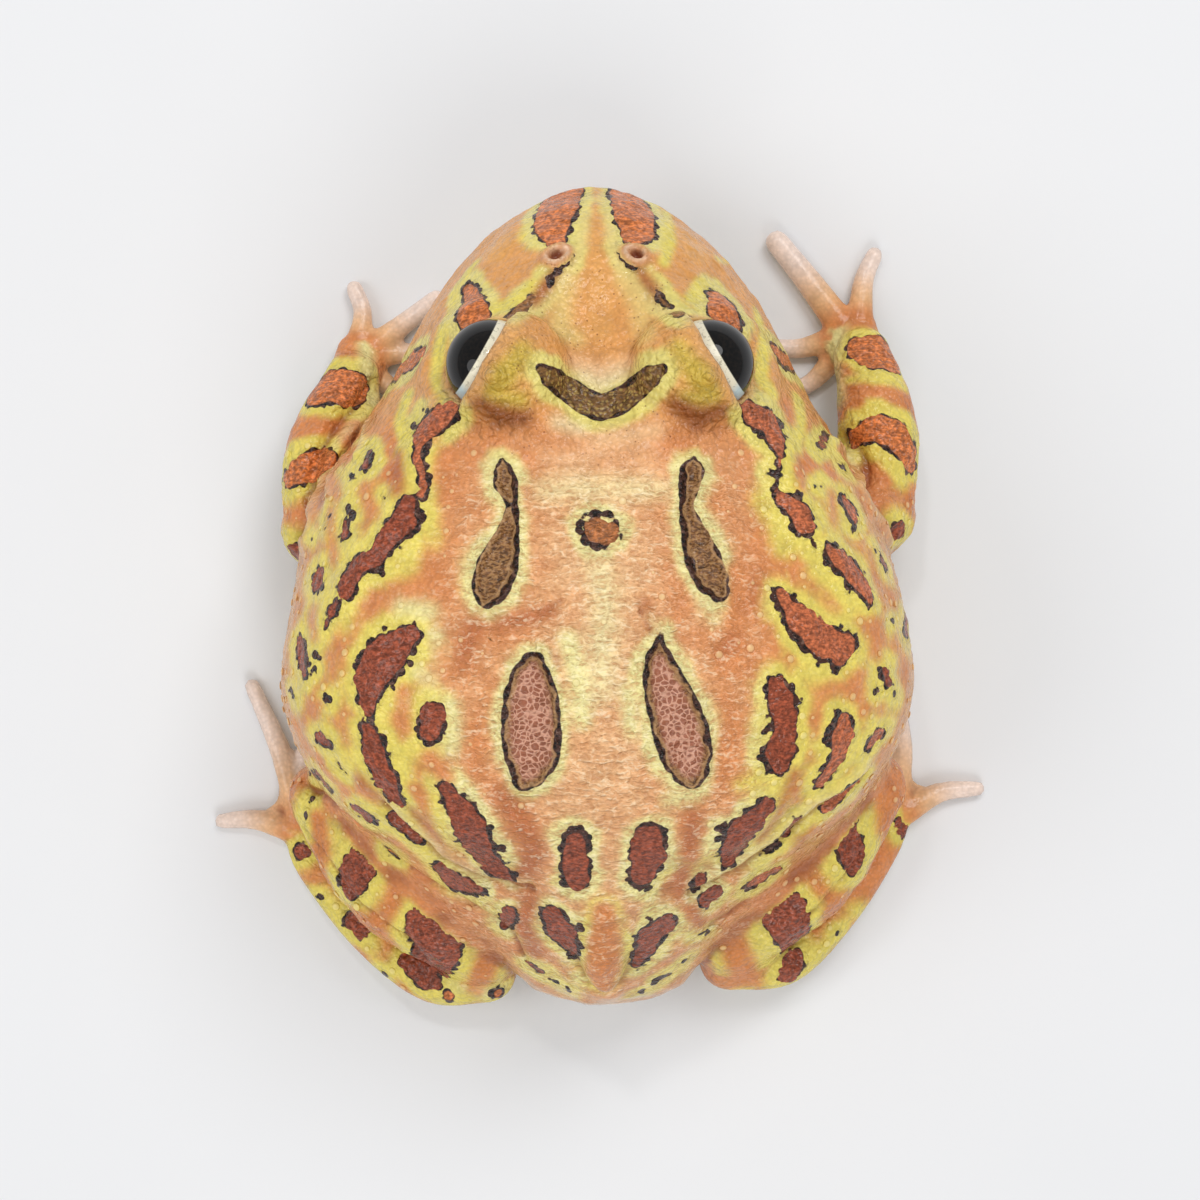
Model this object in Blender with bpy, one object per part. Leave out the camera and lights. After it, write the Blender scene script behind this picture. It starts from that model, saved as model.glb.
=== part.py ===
"""A still, life-size Argentine horned frog, resting on its belly and its feet.

The frog faces -Y and its left side is at +X, with the floor at Z = 0 under its middle.
Its trunk is one smooth shell, lofted from the snout to the rump, that thin cuts part into
the head, the lower jaw and the torso. Each limb is swept along its bones. What a limb grows
from is cut back around it, so that parted pieces meet with one even gap.
"""

import math

import bmesh
import bpy
import numpy as np
from mathutils import Matrix, Vector

# Driving sizes. Tables below are in millimetres and MM turns them into metres.
MM = 0.001
BODY_LENGTH = 99.4
GAP = 0.3
SNOUT_Y = -49.7

# The trunk's outline and profile, at equal steps from the snout round to the rump. Steps are
# equal in angle along a half circle as long as the body, so both ends close as round ones do.
LEFT_WIDTH = (0, 6.8, 13.8, 19.9, 25.6, 33.8, 36.9, 37.9, 31.4, 18.0, 12.4, 8.2, 0)
RIGHT_WIDTH = (0, 6.8, 13.8, 19.9, 25.2, 32.2, 36.3, 37.0, 30.2, 18.0, 12.4, 8.2, 0)
BACK_HEIGHT = (15.8, 22.6, 28.0, 32.6, 37.2, 42.2, 45.4, 46.0, 42.0, 33.8, 24.0, 15.0, 8.5)
WIDEST_HEIGHT = (15.8, 15.8, 15.6, 15.2, 15.0, 16.5, 18.5, 19.0, 18.0, 15.5, 12.0, 9.5, 8.5)
BELLY_HEIGHT = (15.8, 8.0, 4.4, 2.4, 0.8, -0.6, -1.0, -1.0, -1.0, -0.6, 0.8, 3.2, 8.5)
BACK_FULLNESS = (2.4, 2.4, 2.5, 2.6, 2.5, 2.3, 2.2, 2.2, 2.2, 2.2, 2.2, 2.2, 2.2)
BELLY_FULLNESS = 2.8
MIDLINE_LEAN = -0.011
TRUNK_RINGS = 40
TRUNK_SIDES = 44

# Where the trunk is parted, and the line of the mouth as (distance from the neck, height).
NECK_Y = -18.0
MOUTH_LINE = ((0, 13.0), (3, 13.0), (8, 13.3), (15, 13.9), (22, 14.7), (29, 15.2), (42, 15.4))

# The eyes, and the hooded lids over them. Radii of a lid run across its edge, along it and up.
EYE_RADIUS = 5.3
EYE_CENTRE = (12.4, -27.0, 36.2)
LID_CENTRE = (10.7, -26.0, 35.6)
LID_RADII = (7.3, 7.5, 7.2)
LID_TURN = 30
LID_EDGE = 0.8
HORN_ROOT = (11.3, -25.6, 41.0)
HORN_TIP = (12.3, -25.2, 44.4)

# The nostrils
NOSTRIL_CENTRE = (4.8, -40.7, 29.3)
NOSTRIL_RIM_RADIUS = 1.25
NOSTRIL_RADIUS = 0.55
NOSTRIL_DEPTH = 1.2

# Forms on the trunk, each on both sides: a path of points, how far from it the form reaches,
# how high it stands, and how much of a difference in height counts as distance.
FORMS = {
    "eyelid mound": (((8.4, -22.6, 0), (11.2, -27.8, 0)), 5.6, 2.6, 0),
    "hollow of the brow": (((0, -33, 0), (0, -24, 0)), 3.6, -1.0, 0),
    "ridge from eye to nostril": (((9.6, -32.5, 0), (5.6, -40.5, 0)), 1.9, 0.9, 0),
    "cheek under the eye": (((15, -36, 26), (21, -29, 26)), 4.0, -0.9, 1),
    "upper lip": (
        ((0, -50.3, 16.8), (9, -48, 16.8), (17, -41, 16.4), (22.6, -32.5, 16), (27.5, -21.5, 15.2)),
        1.9, 0.7, 1,
    ),
    "lower lid": (((14, -34.2, 0), (19, -31.5, 0), (20.2, -27, 0), (18.5, -21.8, 0)), 1.7, 1.2, 0),
    "ear drum": (((22.5, -20.5, 27.5),), 2.2, 0.5, 1),
    "fold behind the eye": (
        ((16.4, -21.6, 0), (20.6, -17.5, 0), (22.6, -10.5, 0), (27.5, -3.4, 0), (31.4, 1.5, 0)),
        1.9, 0.9, 0,
    ),
    "fold of the flank": (((24.5, 24.5, 0), (17.5, 30.5, 0), (8.5, 34, 0)), 2.0, -1.2, 0),
    "end of the spine": (((0, 37, 0), (0, 46.5, 0)), 3.4, 1.7, 0),
}

# Limbs as points along their bones: place, half width and half height.
ARMS = {
    "left": {
        "upper_arm": ((26.0, -5.0, 17.5, 6.2, 6.6), (31.0, -7.2, 13.5, 5.2, 5.6), (34.3, -8.6, 10.2, 4.8, 5.0)),
        "forearm": ((34.2, -8.6, 10.0, 4.7, 4.8), (34.0, -18.0, 8.8, 4.8, 4.6), (30.8, -28.0, 4.4, 3.4, 2.9)),
        "palm": ((31.0, -27.4, 3.8, 3.0, 2.3), (29.8, -31.0, 1.7, 3.3, 1.8)),
        "finger_1": ((29.0, -29.0, 1.6, 1.5, 1.5), (25.7, -26.3, 1.1, 1.2, 1.2), (22.4, -25.6, 0.9, 1.0, 1.0)),
        "finger_2": ((28.0, -30.6, 1.6, 1.5, 1.5), (24.4, -31.0, 1.1, 1.2, 1.2), (20.4, -32.2, 0.9, 1.1, 1.0)),
        "finger_3": ((28.6, -31.6, 1.6, 1.8, 1.5), (25.0, -34.4, 1.3, 1.4, 1.4), (20.6, -37.8, 1.1, 1.2, 1.2)),
        "finger_4": ((30.4, -32.2, 1.6, 1.6, 1.5), (29.8, -36.0, 1.1, 1.2, 1.2), (30.9, -39.2, 0.9, 1.1, 1.0)),
    },
    "right": {
        "upper_arm": ((-26.0, -6.8, 17.5, 6.2, 6.6), (-30.8, -9.2, 13.5, 5.2, 5.6), (-33.9, -10.4, 10.2, 4.8, 5.0)),
        "forearm": ((-33.8, -10.4, 10.0, 4.8, 4.8), (-34.2, -21.4, 8.6, 5.0, 4.8), (-32.7, -30.6, 4.6, 3.6, 3.0)),
        "palm": ((-32.8, -29.6, 3.8, 3.0, 2.3), (-31.2, -33.6, 1.7, 3.7, 1.8)),
        "finger_1": ((-29.8, -30.8, 1.6, 1.5, 1.5), (-26.6, -27.4, 1.1, 1.2, 1.2), (-23.2, -26.0, 0.9, 1.0, 1.0)),
        "finger_2": ((-29.0, -32.8, 1.6, 1.5, 1.5), (-25.2, -31.6, 1.1, 1.3, 1.2), (-21.2, -31.8, 0.9, 1.1, 1.0)),
        "finger_3": ((-30.2, -34.6, 1.7, 2.0, 1.6), (-26.2, -40.0, 1.4, 1.7, 1.5), (-22.2, -45.0, 1.3, 1.5, 1.4)),
        "finger_4": ((-32.6, -35.2, 1.6, 1.7, 1.5), (-33.1, -40.0, 1.2, 1.3, 1.3), (-34.5, -43.4, 0.9, 1.1, 1.0)),
    },
}
LEGS = {
    "left": {
        "thigh": ((8.0, 35.5, 15.5, 8.2, 8.6), (16.0, 28.5, 17.0, 8.4, 9.8), (28.5, 20.5, 13.5, 6.0, 7.4)),
        "shank": (
            (33.4, 24.6, 9.6, 4.8, 5.4), (27.0, 33.4, 10.6, 5.9, 7.2),
            (21.2, 38.0, 10.4, 5.9, 7.0), (15.0, 42.4, 8.4, 5.1, 5.6),
        ),
        "foot": (
            (14.3, 46.4, 4.6, 3.8, 4.0), (21.0, 46.9, 3.7, 3.3, 3.6), (28.9, 41.4, 2.9, 2.8, 3.0),
            (35.4, 33.4, 2.1, 2.6, 2.2), (37.0, 29.6, 1.6, 2.6, 1.7),
        ),
        "toe_1": ((34.8, 30.2, 1.5, 1.4, 1.4), (33.4, 27.4, 0.9, 1.0, 1.0)),
        "toe_2": ((35.6, 29.4, 1.5, 1.4, 1.4), (34.8, 24.6, 0.9, 1.0, 1.0)),
        "toe_3": ((36.6, 28.8, 1.6, 1.5, 1.5), (37.2, 23.6, 1.1, 1.2, 1.2), (37.0, 18.6, 0.9, 1.0, 1.0)),
        "toe_4": ((37.6, 28.4, 1.6, 1.6, 1.5), (39.9, 19.6, 1.2, 1.4, 1.3), (43.7, 10.8, 0.9, 1.0, 1.0)),
        "toe_5": ((38.4, 29.0, 1.6, 1.6, 1.5), (43.3, 27.6, 1.1, 1.3, 1.2), (47.6, 27.8, 0.8, 1.0, 0.9)),
    },
    "right": {
        "thigh": ((-9.0, 34.6, 15.5, 8.2, 8.6), (-16.6, 27.6, 17.0, 8.4, 9.8), (-28.6, 19.8, 13.5, 6.0, 7.4)),
        "shank": (
            (-32.8, 23.4, 9.6, 4.8, 5.4), (-26.8, 31.8, 10.6, 5.9, 7.2),
            (-21.6, 36.6, 10.4, 5.9, 7.0), (-16.6, 41.0, 8.6, 5.2, 5.7),
        ),
        "foot": (
            (-16.2, 44.8, 4.6, 3.8, 4.0), (-23.2, 44.6, 3.7, 3.3, 3.6), (-30.2, 38.0, 2.9, 2.8, 3.0),
            (-35.2, 30.4, 2.1, 2.6, 2.2), (-36.4, 26.8, 1.6, 2.6, 1.7),
        ),
        "toe_1": ((-34.4, 27.8, 1.5, 1.4, 1.4), (-32.8, 25.0, 0.9, 1.0, 1.0)),
        "toe_2": ((-35.2, 27.0, 1.5, 1.4, 1.4), (-33.6, 22.4, 0.9, 1.0, 1.0)),
        "toe_3": ((-36.2, 26.4, 1.6, 1.5, 1.5), (-35.8, 21.6, 1.1, 1.2, 1.2), (-34.6, 16.8, 0.9, 1.0, 1.0)),
        "toe_4": ((-37.0, 26.0, 1.6, 1.6, 1.5), (-38.0, 18.6, 1.2, 1.3, 1.3), (-37.0, 11.6, 0.9, 1.0, 1.0)),
        "toe_5": ((-38.2, 26.8, 1.6, 1.6, 1.5), (-42.7, 24.2, 1.1, 1.3, 1.2), (-47.5, 23.7, 0.8, 1.0, 0.9)),
    },
}
LIMB_SIDES = 12
DIGIT_SIDES = 8
RINGS_PER_SPAN = 3

# The webs between the hind toes reach this share of the way along them.
WEB_REACH = 0.5
WEB_THICKNESS = 0.9
WEB_BASE = 0.35

COLOURS = {
    "skin": (0.80, 0.45, 0.20, 1),
    "lid": (0.78, 0.60, 0.22, 1),
    "eye": (0.02, 0.02, 0.03, 1),
}
ROUGHNESS = {"skin": 0.45, "lid": 0.45, "eye": 0.05}


def make_material(name, kind):
    """A Principled BSDF in one of the frog's colours."""
    material = bpy.data.materials.new(name)
    material.use_nodes = True
    shader = material.node_tree.nodes["Principled BSDF"]
    shader.inputs["Base Color"].default_value = COLOURS[kind]
    shader.inputs["Roughness"].default_value = ROUGHNESS[kind]
    shader.inputs["Metallic"].default_value = 0
    return material


def add_object(name, points, faces):
    """A mesh object from points in millimetres."""
    mesh = bpy.data.meshes.new(name)
    mesh.from_pydata([Vector(p) * MM for p in points], [], faces)
    obj = bpy.data.objects.new(name, mesh)
    bpy.context.scene.collection.objects.link(obj)
    shape = bmesh.new()
    shape.from_mesh(mesh)
    bmesh.ops.recalc_face_normals(shape, faces=shape.faces)
    shape.to_mesh(mesh)
    shape.free()
    return obj


def smooth_curve(values, at):
    """A smooth curve through evenly spaced values, read at positions counted in steps."""
    values = np.asarray(values, float)
    flat = values.ndim == 1
    values = values.reshape(len(values), -1)
    padded = np.vstack([2 * values[0] - values[1], values, 2 * values[-1] - values[-2]])
    at = np.clip(np.asarray(at, float), 0, len(values) - 1 - 1e-9)
    step = at.astype(int)
    t = (at - step)[:, None]
    before, start, end, after = (padded[step + k] for k in range(4))
    curve = start + 0.5 * t * (
        end - before + t * (2 * before - 5 * start + 4 * end - after + t * (3 * (start - end) + after - before))
    )
    return curve[:, 0] if flat else curve


def tube_faces(rings, sides):
    """Faces of a closed tube: bands between its rings, and a fan to a point at each end."""
    faces = []
    for k in range(sides):
        following = (k + 1) % sides
        for ring in range(rings - 1):
            a, b = ring * sides + k, ring * sides + following
            faces.append((a, b, b + sides, a + sides))
        faces.append((rings * sides, following, k))
        last = (rings - 1) * sides
        faces.append((rings * sides + 1, last + k, last + following))
    return faces


def shape_forms(points, normals):
    """Raises or presses the trunk's named forms into its surface."""
    moved = points.copy()
    for path, reach, height, rise in FORMS.values():
        for side in (1, -1):
            ends = np.array(path, float) * (side, 1, 1)
            near = np.full(len(points), np.inf)
            for start, end in zip(ends, np.vstack([ends[1:], ends[-1:]])):
                scale = np.array((1, 1, rise))
                along, offset = (end - start) * scale, (points - start) * scale
                share = np.clip(offset @ along / max(along @ along, 1e-9), 0, 1)
                near = np.minimum(near, np.linalg.norm(offset - share[:, None] * along, axis=1))
            weight = np.exp(-((near / reach) ** 2))
            if rise == 0:
                weight *= np.clip(normals[:, 2] * 2, 0, 1)
            if all(point[0] == 0 for point in path):
                weight *= 0.5
            moved += normals * (weight * height)[:, None]
    return moved


def trunk(name):
    """The frog without its limbs, as one closed shell."""
    first = 0.12
    angle = np.linspace(first, math.pi - first, TRUNK_RINGS)
    at = angle / math.pi * (len(LEFT_WIDTH) - 1)
    y = SNOUT_Y + BODY_LENGTH * (1 - np.cos(angle)) / 2
    left, right, back, widest, belly, fullness = (
        smooth_curve(values, at)
        for values in (LEFT_WIDTH, RIGHT_WIDTH, BACK_HEIGHT, WIDEST_HEIGHT, BELLY_HEIGHT, BACK_FULLNESS)
    )
    around = np.arange(TRUNK_SIDES) / TRUNK_SIDES * math.tau
    across, upward = np.sin(around), np.cos(around)
    upper = upward >= 0
    points = []
    for ring in range(TRUNK_RINGS):
        power = 2 / np.where(upper, fullness[ring], BELLY_FULLNESS)
        reach = np.where(upper, back[ring] - widest[ring], widest[ring] - belly[ring])
        width = np.where(across >= 0, left[ring], right[ring])
        x = width * np.sign(across) * np.abs(across) ** power + MIDLINE_LEAN * y[ring]
        z = widest[ring] + reach * np.sign(upward) * np.abs(upward) ** power
        points.append(np.column_stack([x, np.full(TRUNK_SIDES, y[ring]), z]))
    points.append([(-MIDLINE_LEAN * 50, SNOUT_Y, WIDEST_HEIGHT[0])])
    points.append([(MIDLINE_LEAN * 50, SNOUT_Y + BODY_LENGTH, WIDEST_HEIGHT[-1])])
    obj = add_object(name, np.vstack(points), tube_faces(TRUNK_RINGS, TRUNK_SIDES))
    plain = np.array([vertex.co / MM for vertex in obj.data.vertices])
    normals = np.array([vertex.normal for vertex in obj.data.vertices])
    for vertex, place in zip(obj.data.vertices, shape_forms(plain, normals)):
        vertex.co = Vector(place) * MM
    return obj


def sweep(name, spine, sides, grow=0):
    """A limb with round ends along its spine, whose points hold place, half width and half height."""
    spans = len(spine) - 1
    line = smooth_curve(spine, np.linspace(0, spans, spans * RINGS_PER_SPAN + 1))
    line[:, 3:] += grow
    tangent = np.gradient(line[:, :3], axis=0)
    tangent /= np.linalg.norm(tangent, axis=1)[:, None]
    steps = np.radians((35, 68))
    head = [(line[0], tangent[0], -math.sin(a), math.cos(a)) for a in steps[::-1]]
    tail = [(line[-1], tangent[-1], math.sin(a), math.cos(a)) for a in steps]
    body = [(row, ahead, 0, 1) for row, ahead in zip(line, tangent)]
    around = np.arange(sides) / sides * math.tau
    points = []
    for row, ahead, push, scale in head + body + tail:
        across = np.cross(ahead, (0, 0, 1))
        across /= np.linalg.norm(across)
        upward = np.cross(across, ahead)
        centre = row[:3] + ahead * push * row[3:].mean()
        ring = np.outer(np.cos(around) * row[3] * scale, across) + np.outer(np.sin(around) * row[4] * scale, upward)
        points.append(centre + ring)
    points.append([line[0, :3] - tangent[0] * line[0, 3:].mean()])
    points.append([line[-1, :3] + tangent[-1] * line[-1, 3:].mean()])
    return add_object(name, np.vstack(points), tube_faces(len(body) + 2 * len(steps), sides))


def ball(name, centre, radii, turn=0, across=20, along=12):
    """An ellipsoid, turned by some degrees about the vertical."""
    shape = bmesh.new()
    bmesh.ops.create_uvsphere(shape, u_segments=across, v_segments=along, radius=1)
    bmesh.ops.scale(shape, vec=Vector(radii) * MM, verts=shape.verts)
    bmesh.ops.rotate(shape, matrix=Matrix.Rotation(math.radians(turn), 3, "Z"), verts=shape.verts)
    bmesh.ops.translate(shape, vec=Vector(centre) * MM, verts=shape.verts)
    mesh = bpy.data.meshes.new(name)
    shape.to_mesh(mesh)
    shape.free()
    obj = bpy.data.objects.new(name, mesh)
    bpy.context.scene.collection.objects.link(obj)
    return obj


def prism(name, outline, low, high, axis):
    """A flat outline pushed from low to high along an axis."""
    count = len(outline)
    points = [
        np.insert(np.array(corner, float), axis, level) for level in (low, high) for corner in outline
    ]
    faces = [tuple(range(count)), tuple(range(count, 2 * count))]
    faces += [(k, (k + 1) % count, (k + 1) % count + count, k + count) for k in range(count)]
    return add_object(name, points, faces)


def combine(obj, others, operation, solver="MANIFOLD"):
    """Joins the other objects to obj or cuts them from it, and removes them."""
    group = bpy.data.collections.new("group")
    bpy.context.scene.collection.children.link(group)
    for other in others:
        group.objects.link(other)
    modifier = obj.modifiers.new(operation.lower(), "BOOLEAN")
    modifier.operation = operation
    modifier.operand_type = "COLLECTION"
    modifier.collection = group
    modifier.solver = solver
    graph = bpy.context.evaluated_depsgraph_get()
    mesh = bpy.data.meshes.new_from_object(obj.evaluated_get(graph))
    obj.modifiers.clear()
    obj.data = mesh
    for other in others:
        bpy.data.objects.remove(other)
    bpy.data.collections.remove(group)
    keep_largest(obj)
    return obj


def keep_largest(obj):
    """Drops every closed surface of obj but its largest."""
    shape = bmesh.new()
    shape.from_mesh(obj.data)
    left, surfaces = set(shape.faces), []
    while left:
        surface, edge = set(), [left.pop()]
        while edge:
            face = edge.pop()
            surface.add(face)
            joined = {near for loop in face.edges for near in loop.link_faces} & left
            left -= joined
            edge.extend(joined)
        surfaces.append(surface)
    size = [sum(face.calc_area() for face in surface) for surface in surfaces]
    spare = [f for k, surface in enumerate(surfaces) if k != size.index(max(size)) for f in surface]
    bmesh.ops.delete(shape, geom=spare, context="FACES")
    bmesh.ops.triangulate(shape, faces=shape.faces)
    shape.to_mesh(obj.data)
    shape.free()


def cut(obj, cutters):
    return combine(obj, cutters, "DIFFERENCE")


def join(name, pieces):
    """One closed body from overlapping pieces."""
    whole = combine(pieces[0], pieces[1:], "UNION")
    whole.name = whole.data.name = name
    return whole


def floor():
    """The space under the floor, as a cutter."""
    return prism("floor", ((-80, -80), (80, -80), (80, 80), (-80, 80)), -20, 0, 2)


def mirrored(place, side):
    """A place on the frog's left, or its twin on the right."""
    return (place[0] if side == "left" else -place[0], *place[1:])


def eyeball(name, side, grow=0):
    return ball(name, mirrored(EYE_CENTRE, side), (EYE_RADIUS + grow,) * 3)


def lid_hood(side, grow):
    """The hood over an eye. The eye looks out past its straight upright edge."""
    hood = ball(
        "hood", mirrored(LID_CENTRE, side), [radius + grow for radius in LID_RADII],
        mirrored((-LID_TURN,), side)[0],
    )
    angle = math.radians(LID_TURN)
    facing = Vector(mirrored((math.cos(angle), -math.sin(angle), 0), side))
    along = facing.cross((0, 0, 1))
    start = Vector(mirrored(EYE_CENTRE, side)) + facing * (LID_EDGE + grow)
    outline = [start + along * a + facing * b for a, b in ((-15, 0), (15, 0), (15, 15), (-15, 15))]
    return cut(hood, [prism("opening", [corner[:2] for corner in outline], 15, 60, 2)])


def horn(side, grow):
    """The soft blunt peak on the upper lid."""
    root, tip = (Vector(mirrored(place, side)) for place in (HORN_ROOT, HORN_TIP))
    middle = root * 0.45 + tip * 0.55
    return sweep("horn", ((*root, 2.9, 2.9), (*middle, 1.6, 1.6), (*tip, 0.7, 0.7)), DIGIT_SIDES, grow)


def make_lid(side):
    """The upper eyelid and its horn, one closed body."""
    lid = join(f"eyelid_horn_{side}", [lid_hood(side, 0), horn(side, 0)])
    return cut(lid, [eyeball("ball", side, GAP)])


def mouth_slab(level, below):
    """All that is below the line of the mouth, or above it, as a cutter."""
    line = [(NECK_Y + 5, MOUTH_LINE[0][1] + level)]
    line += [(NECK_Y - distance, height + level) for distance, height in MOUTH_LINE]
    far = -10 if below else 60
    outline = line + [(line[-1][0], far), (line[0][0], far)]
    return prism("mouth", outline, -60, 60, 0)


def neck_slab(level, behind):
    """All that is behind the neck, or before it, as a cutter."""
    near, far = NECK_Y + level, 80 if behind else -80
    return prism("neck", ((-60, near), (60, near), (60, far), (-60, far)), -20, 80, 2)


def nostril(side):
    """The raised rim round a nostril, and its hole as a cutter."""
    centre = Vector(mirrored(NOSTRIL_CENTRE, side))
    outward = Vector(mirrored((0.35, -0.45, 0.82), side)).normalized()
    rim = ball("rim", centre - outward * 0.5, (NOSTRIL_RIM_RADIUS,) * 3, 0, 12, 8)
    inner, outer = centre - outward * NOSTRIL_DEPTH, centre + outward * 2
    hole = sweep("hole", ((*inner, NOSTRIL_RADIUS, NOSTRIL_RADIUS), (*outer, 0.8, 0.8)), DIGIT_SIDES)
    return rim, hole


def limb_pieces(side, names, grow=0):
    """The swept pieces of one limb node, grown by the gap where they cut their neighbours."""
    bones = {**ARMS[side], **LEGS[side]}
    return [
        sweep(name, bones[name], DIGIT_SIDES if "finger" in name or "toe" in name else LIMB_SIDES, grow)
        for name in names
    ]


def web(side, grow=0):
    """The web of a hind foot: one flat sheet from toe to toe, hollowed between them."""
    toes = [LEGS[side][f"toe_{number}"] for number in range(1, 6)]
    roots = [np.array(toe[0][:2]) for toe in toes]
    far = [smooth_curve(toe, [(len(toe) - 1) * WEB_REACH])[0, :2] for toe in toes]
    outline = [far[0]]
    for k in range(1, 5):
        hollow = (far[k - 1] + far[k]) / 2 * 0.7 + (roots[k - 1] + roots[k]) / 2 * 0.3
        outline += [hollow, far[k]]
    heel = sum(roots) / 5 + (0, 2)
    return prism("web", outline + [heel], WEB_BASE - grow, WEB_BASE + WEB_THICKNESS + grow, 2)


HAND = ("palm", "finger_1", "finger_2", "finger_3", "finger_4")
FOOT = ("foot", "toe_1", "toe_2", "toe_3", "toe_4", "toe_5")


def make_limbs(side):
    """An arm and a leg, from their ends inwards, each piece cut clear of the one beyond it."""
    hand = join(f"hand_{side}", limb_pieces(side, HAND))
    foot = join(f"foot_{side}", limb_pieces(side, FOOT) + [web(side)])
    for name, beyond in (
        ("forearm", HAND), ("upper_arm", ("forearm",)),
        ("shank", FOOT), ("thigh", ("shank", "foot")),
    ):
        piece = limb_pieces(side, (name,))[0]
        piece.name = piece.data.name = f"{name}_{side}"
        cut(piece, limb_pieces(side, beyond, GAP))
    for node in (hand, foot, bpy.data.objects[f"shank_{side}"], bpy.data.objects[f"thigh_{side}"]):
        cut(node, [floor()])


def limb_cutters():
    """All the limbs grown by the gap, to cut the trunk clear of them."""
    names = ("upper_arm", "forearm", "thigh", "shank", *HAND, *FOOT)
    return [
        piece for side in ("left", "right") for piece in (*limb_pieces(side, names, GAP), web(side, GAP))
    ]


def make_trunk_nodes():
    """The head, the lower jaw and the torso, parted from one shell."""
    half = GAP / 2
    torso = cut(trunk("torso"), [neck_slab(half, False), floor(), *limb_cutters()])
    jaw = cut(trunk("lower_jaw"), [neck_slab(-half, True), mouth_slab(-half, False), floor(), *limb_cutters()])
    head = trunk("head")
    rims, holes = zip(*(nostril(side) for side in ("left", "right")))
    combine(head, list(rims), "UNION")
    sockets = [eyeball("socket", side, GAP) for side in ("left", "right")]
    hoods = [piece(side, GAP) for side in ("left", "right") for piece in (lid_hood, horn)]
    cut(head, [neck_slab(-half, True), mouth_slab(half, True), *holes, *sockets, *hoods])
    return torso, jaw, head


def finish_materials():
    """Gives each node its own material and shades it smooth."""
    for obj in bpy.context.scene.objects:
        kind = "eye" if obj.name.startswith("eye_") else "lid" if "lid" in obj.name else "skin"
        obj.data.materials.clear()
        obj.data.materials.append(make_material(obj.name, kind))
        obj.data.shade_smooth()
        obj.data.set_sharp_from_angle(angle=math.radians(50))


def main():
    for obj in list(bpy.data.objects):
        bpy.data.objects.remove(obj)
    make_trunk_nodes()
    for side in ("left", "right"):
        eyeball(f"eye_{side}", side)
        make_lid(side)
        make_limbs(side)
    finish_materials()


main()
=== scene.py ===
"""The looks of a still, life-size Argentine horned frog that rests on its belly and its feet."""

import math

import bmesh
import bpy
import numpy as np
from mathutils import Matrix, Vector, noise
from mathutils.bvhtree import BVHTree


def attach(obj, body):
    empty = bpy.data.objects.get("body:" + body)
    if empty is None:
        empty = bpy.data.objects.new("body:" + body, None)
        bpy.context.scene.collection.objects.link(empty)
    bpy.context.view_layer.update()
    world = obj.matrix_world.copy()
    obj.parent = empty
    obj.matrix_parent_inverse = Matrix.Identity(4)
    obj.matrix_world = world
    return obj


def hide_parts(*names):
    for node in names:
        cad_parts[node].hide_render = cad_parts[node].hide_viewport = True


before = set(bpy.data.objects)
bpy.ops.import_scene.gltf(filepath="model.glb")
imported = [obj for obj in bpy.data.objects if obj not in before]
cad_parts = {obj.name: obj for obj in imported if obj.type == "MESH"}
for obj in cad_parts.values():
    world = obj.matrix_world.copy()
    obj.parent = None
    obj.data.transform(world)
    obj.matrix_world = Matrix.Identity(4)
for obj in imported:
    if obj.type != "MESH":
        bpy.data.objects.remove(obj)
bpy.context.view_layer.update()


# Camera. It looks straight down on the frog's back, with the head towards the top of the
# picture, from well under half a metre above the floor that the frog sits on.
CAMERA_HEIGHT = 420.0
LENS_LENGTH = 100.0
SENSOR_WIDTH = 36.0
MM = 0.001

lens = bpy.data.cameras.new("camera")
lens.lens = LENS_LENGTH
lens.sensor_width = SENSOR_WIDTH
lens.clip_start = 0.01
camera = bpy.data.objects.new("camera", lens)
camera.location = (0, 0, CAMERA_HEIGHT * MM)
camera.rotation_euler = (0, 0, math.pi)
bpy.context.scene.collection.objects.link(camera)
bpy.context.scene.camera = camera
bpy.context.scene.view_settings.view_transform = "Standard"


# Floor and light. The frog sits on a plain sheet of matt white card in a pale room, under
# three large soft boxes, the strongest up to its right, so its shadow is pale and soft.
FLOOR_SIDE = 8.0
SOFT_BOXES = {
    "right": ((-0.24, -0.44, 0.62), 0.40, 2.05),
    "left": ((0.55, 0.05, 0.55), 0.44, 1.2),
    "behind": ((-0.12, 0.60, 0.60), 0.44, 1.9),
    "small": ((0.10, -0.38, 0.66), 0.07, 0.5),
}
ROOM_LIGHT = 0.46


def linear(code):
    """A hex sRGB colour as linear red, green, blue and alpha."""
    shares = [int(code[k:k + 2], 16) / 255 for k in (0, 2, 4)]
    return (*(s / 12.92 if s <= 0.04045 else ((s + 0.055) / 1.055) ** 2.4 for s in shares), 1.0)


def add(tree, kind, settings=None, inputs=None):
    """Adds a node. Its inputs are named, or given in order, and each is a value, a socket or a node."""
    new = tree.nodes.new(kind)
    for name, value in (settings or {}).items():
        setattr(new, name, value)
    if isinstance(inputs, tuple):
        inputs = dict(zip([k for k, socket in enumerate(new.inputs) if socket.enabled], inputs))
    for name, value in (inputs or {}).items():
        if isinstance(value, bpy.types.Node):
            value = next(socket for socket in value.outputs if socket.enabled)
        if isinstance(value, bpy.types.NodeSocket):
            tree.links.new(value, new.inputs[name])
        else:
            new.inputs[name].default_value = value
    return new


def new_material(name):
    """An empty material with no nodes, and its node tree."""
    material = bpy.data.materials.new(name)
    material.use_nodes = True
    material.node_tree.nodes.clear()
    return material, material.node_tree


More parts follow.
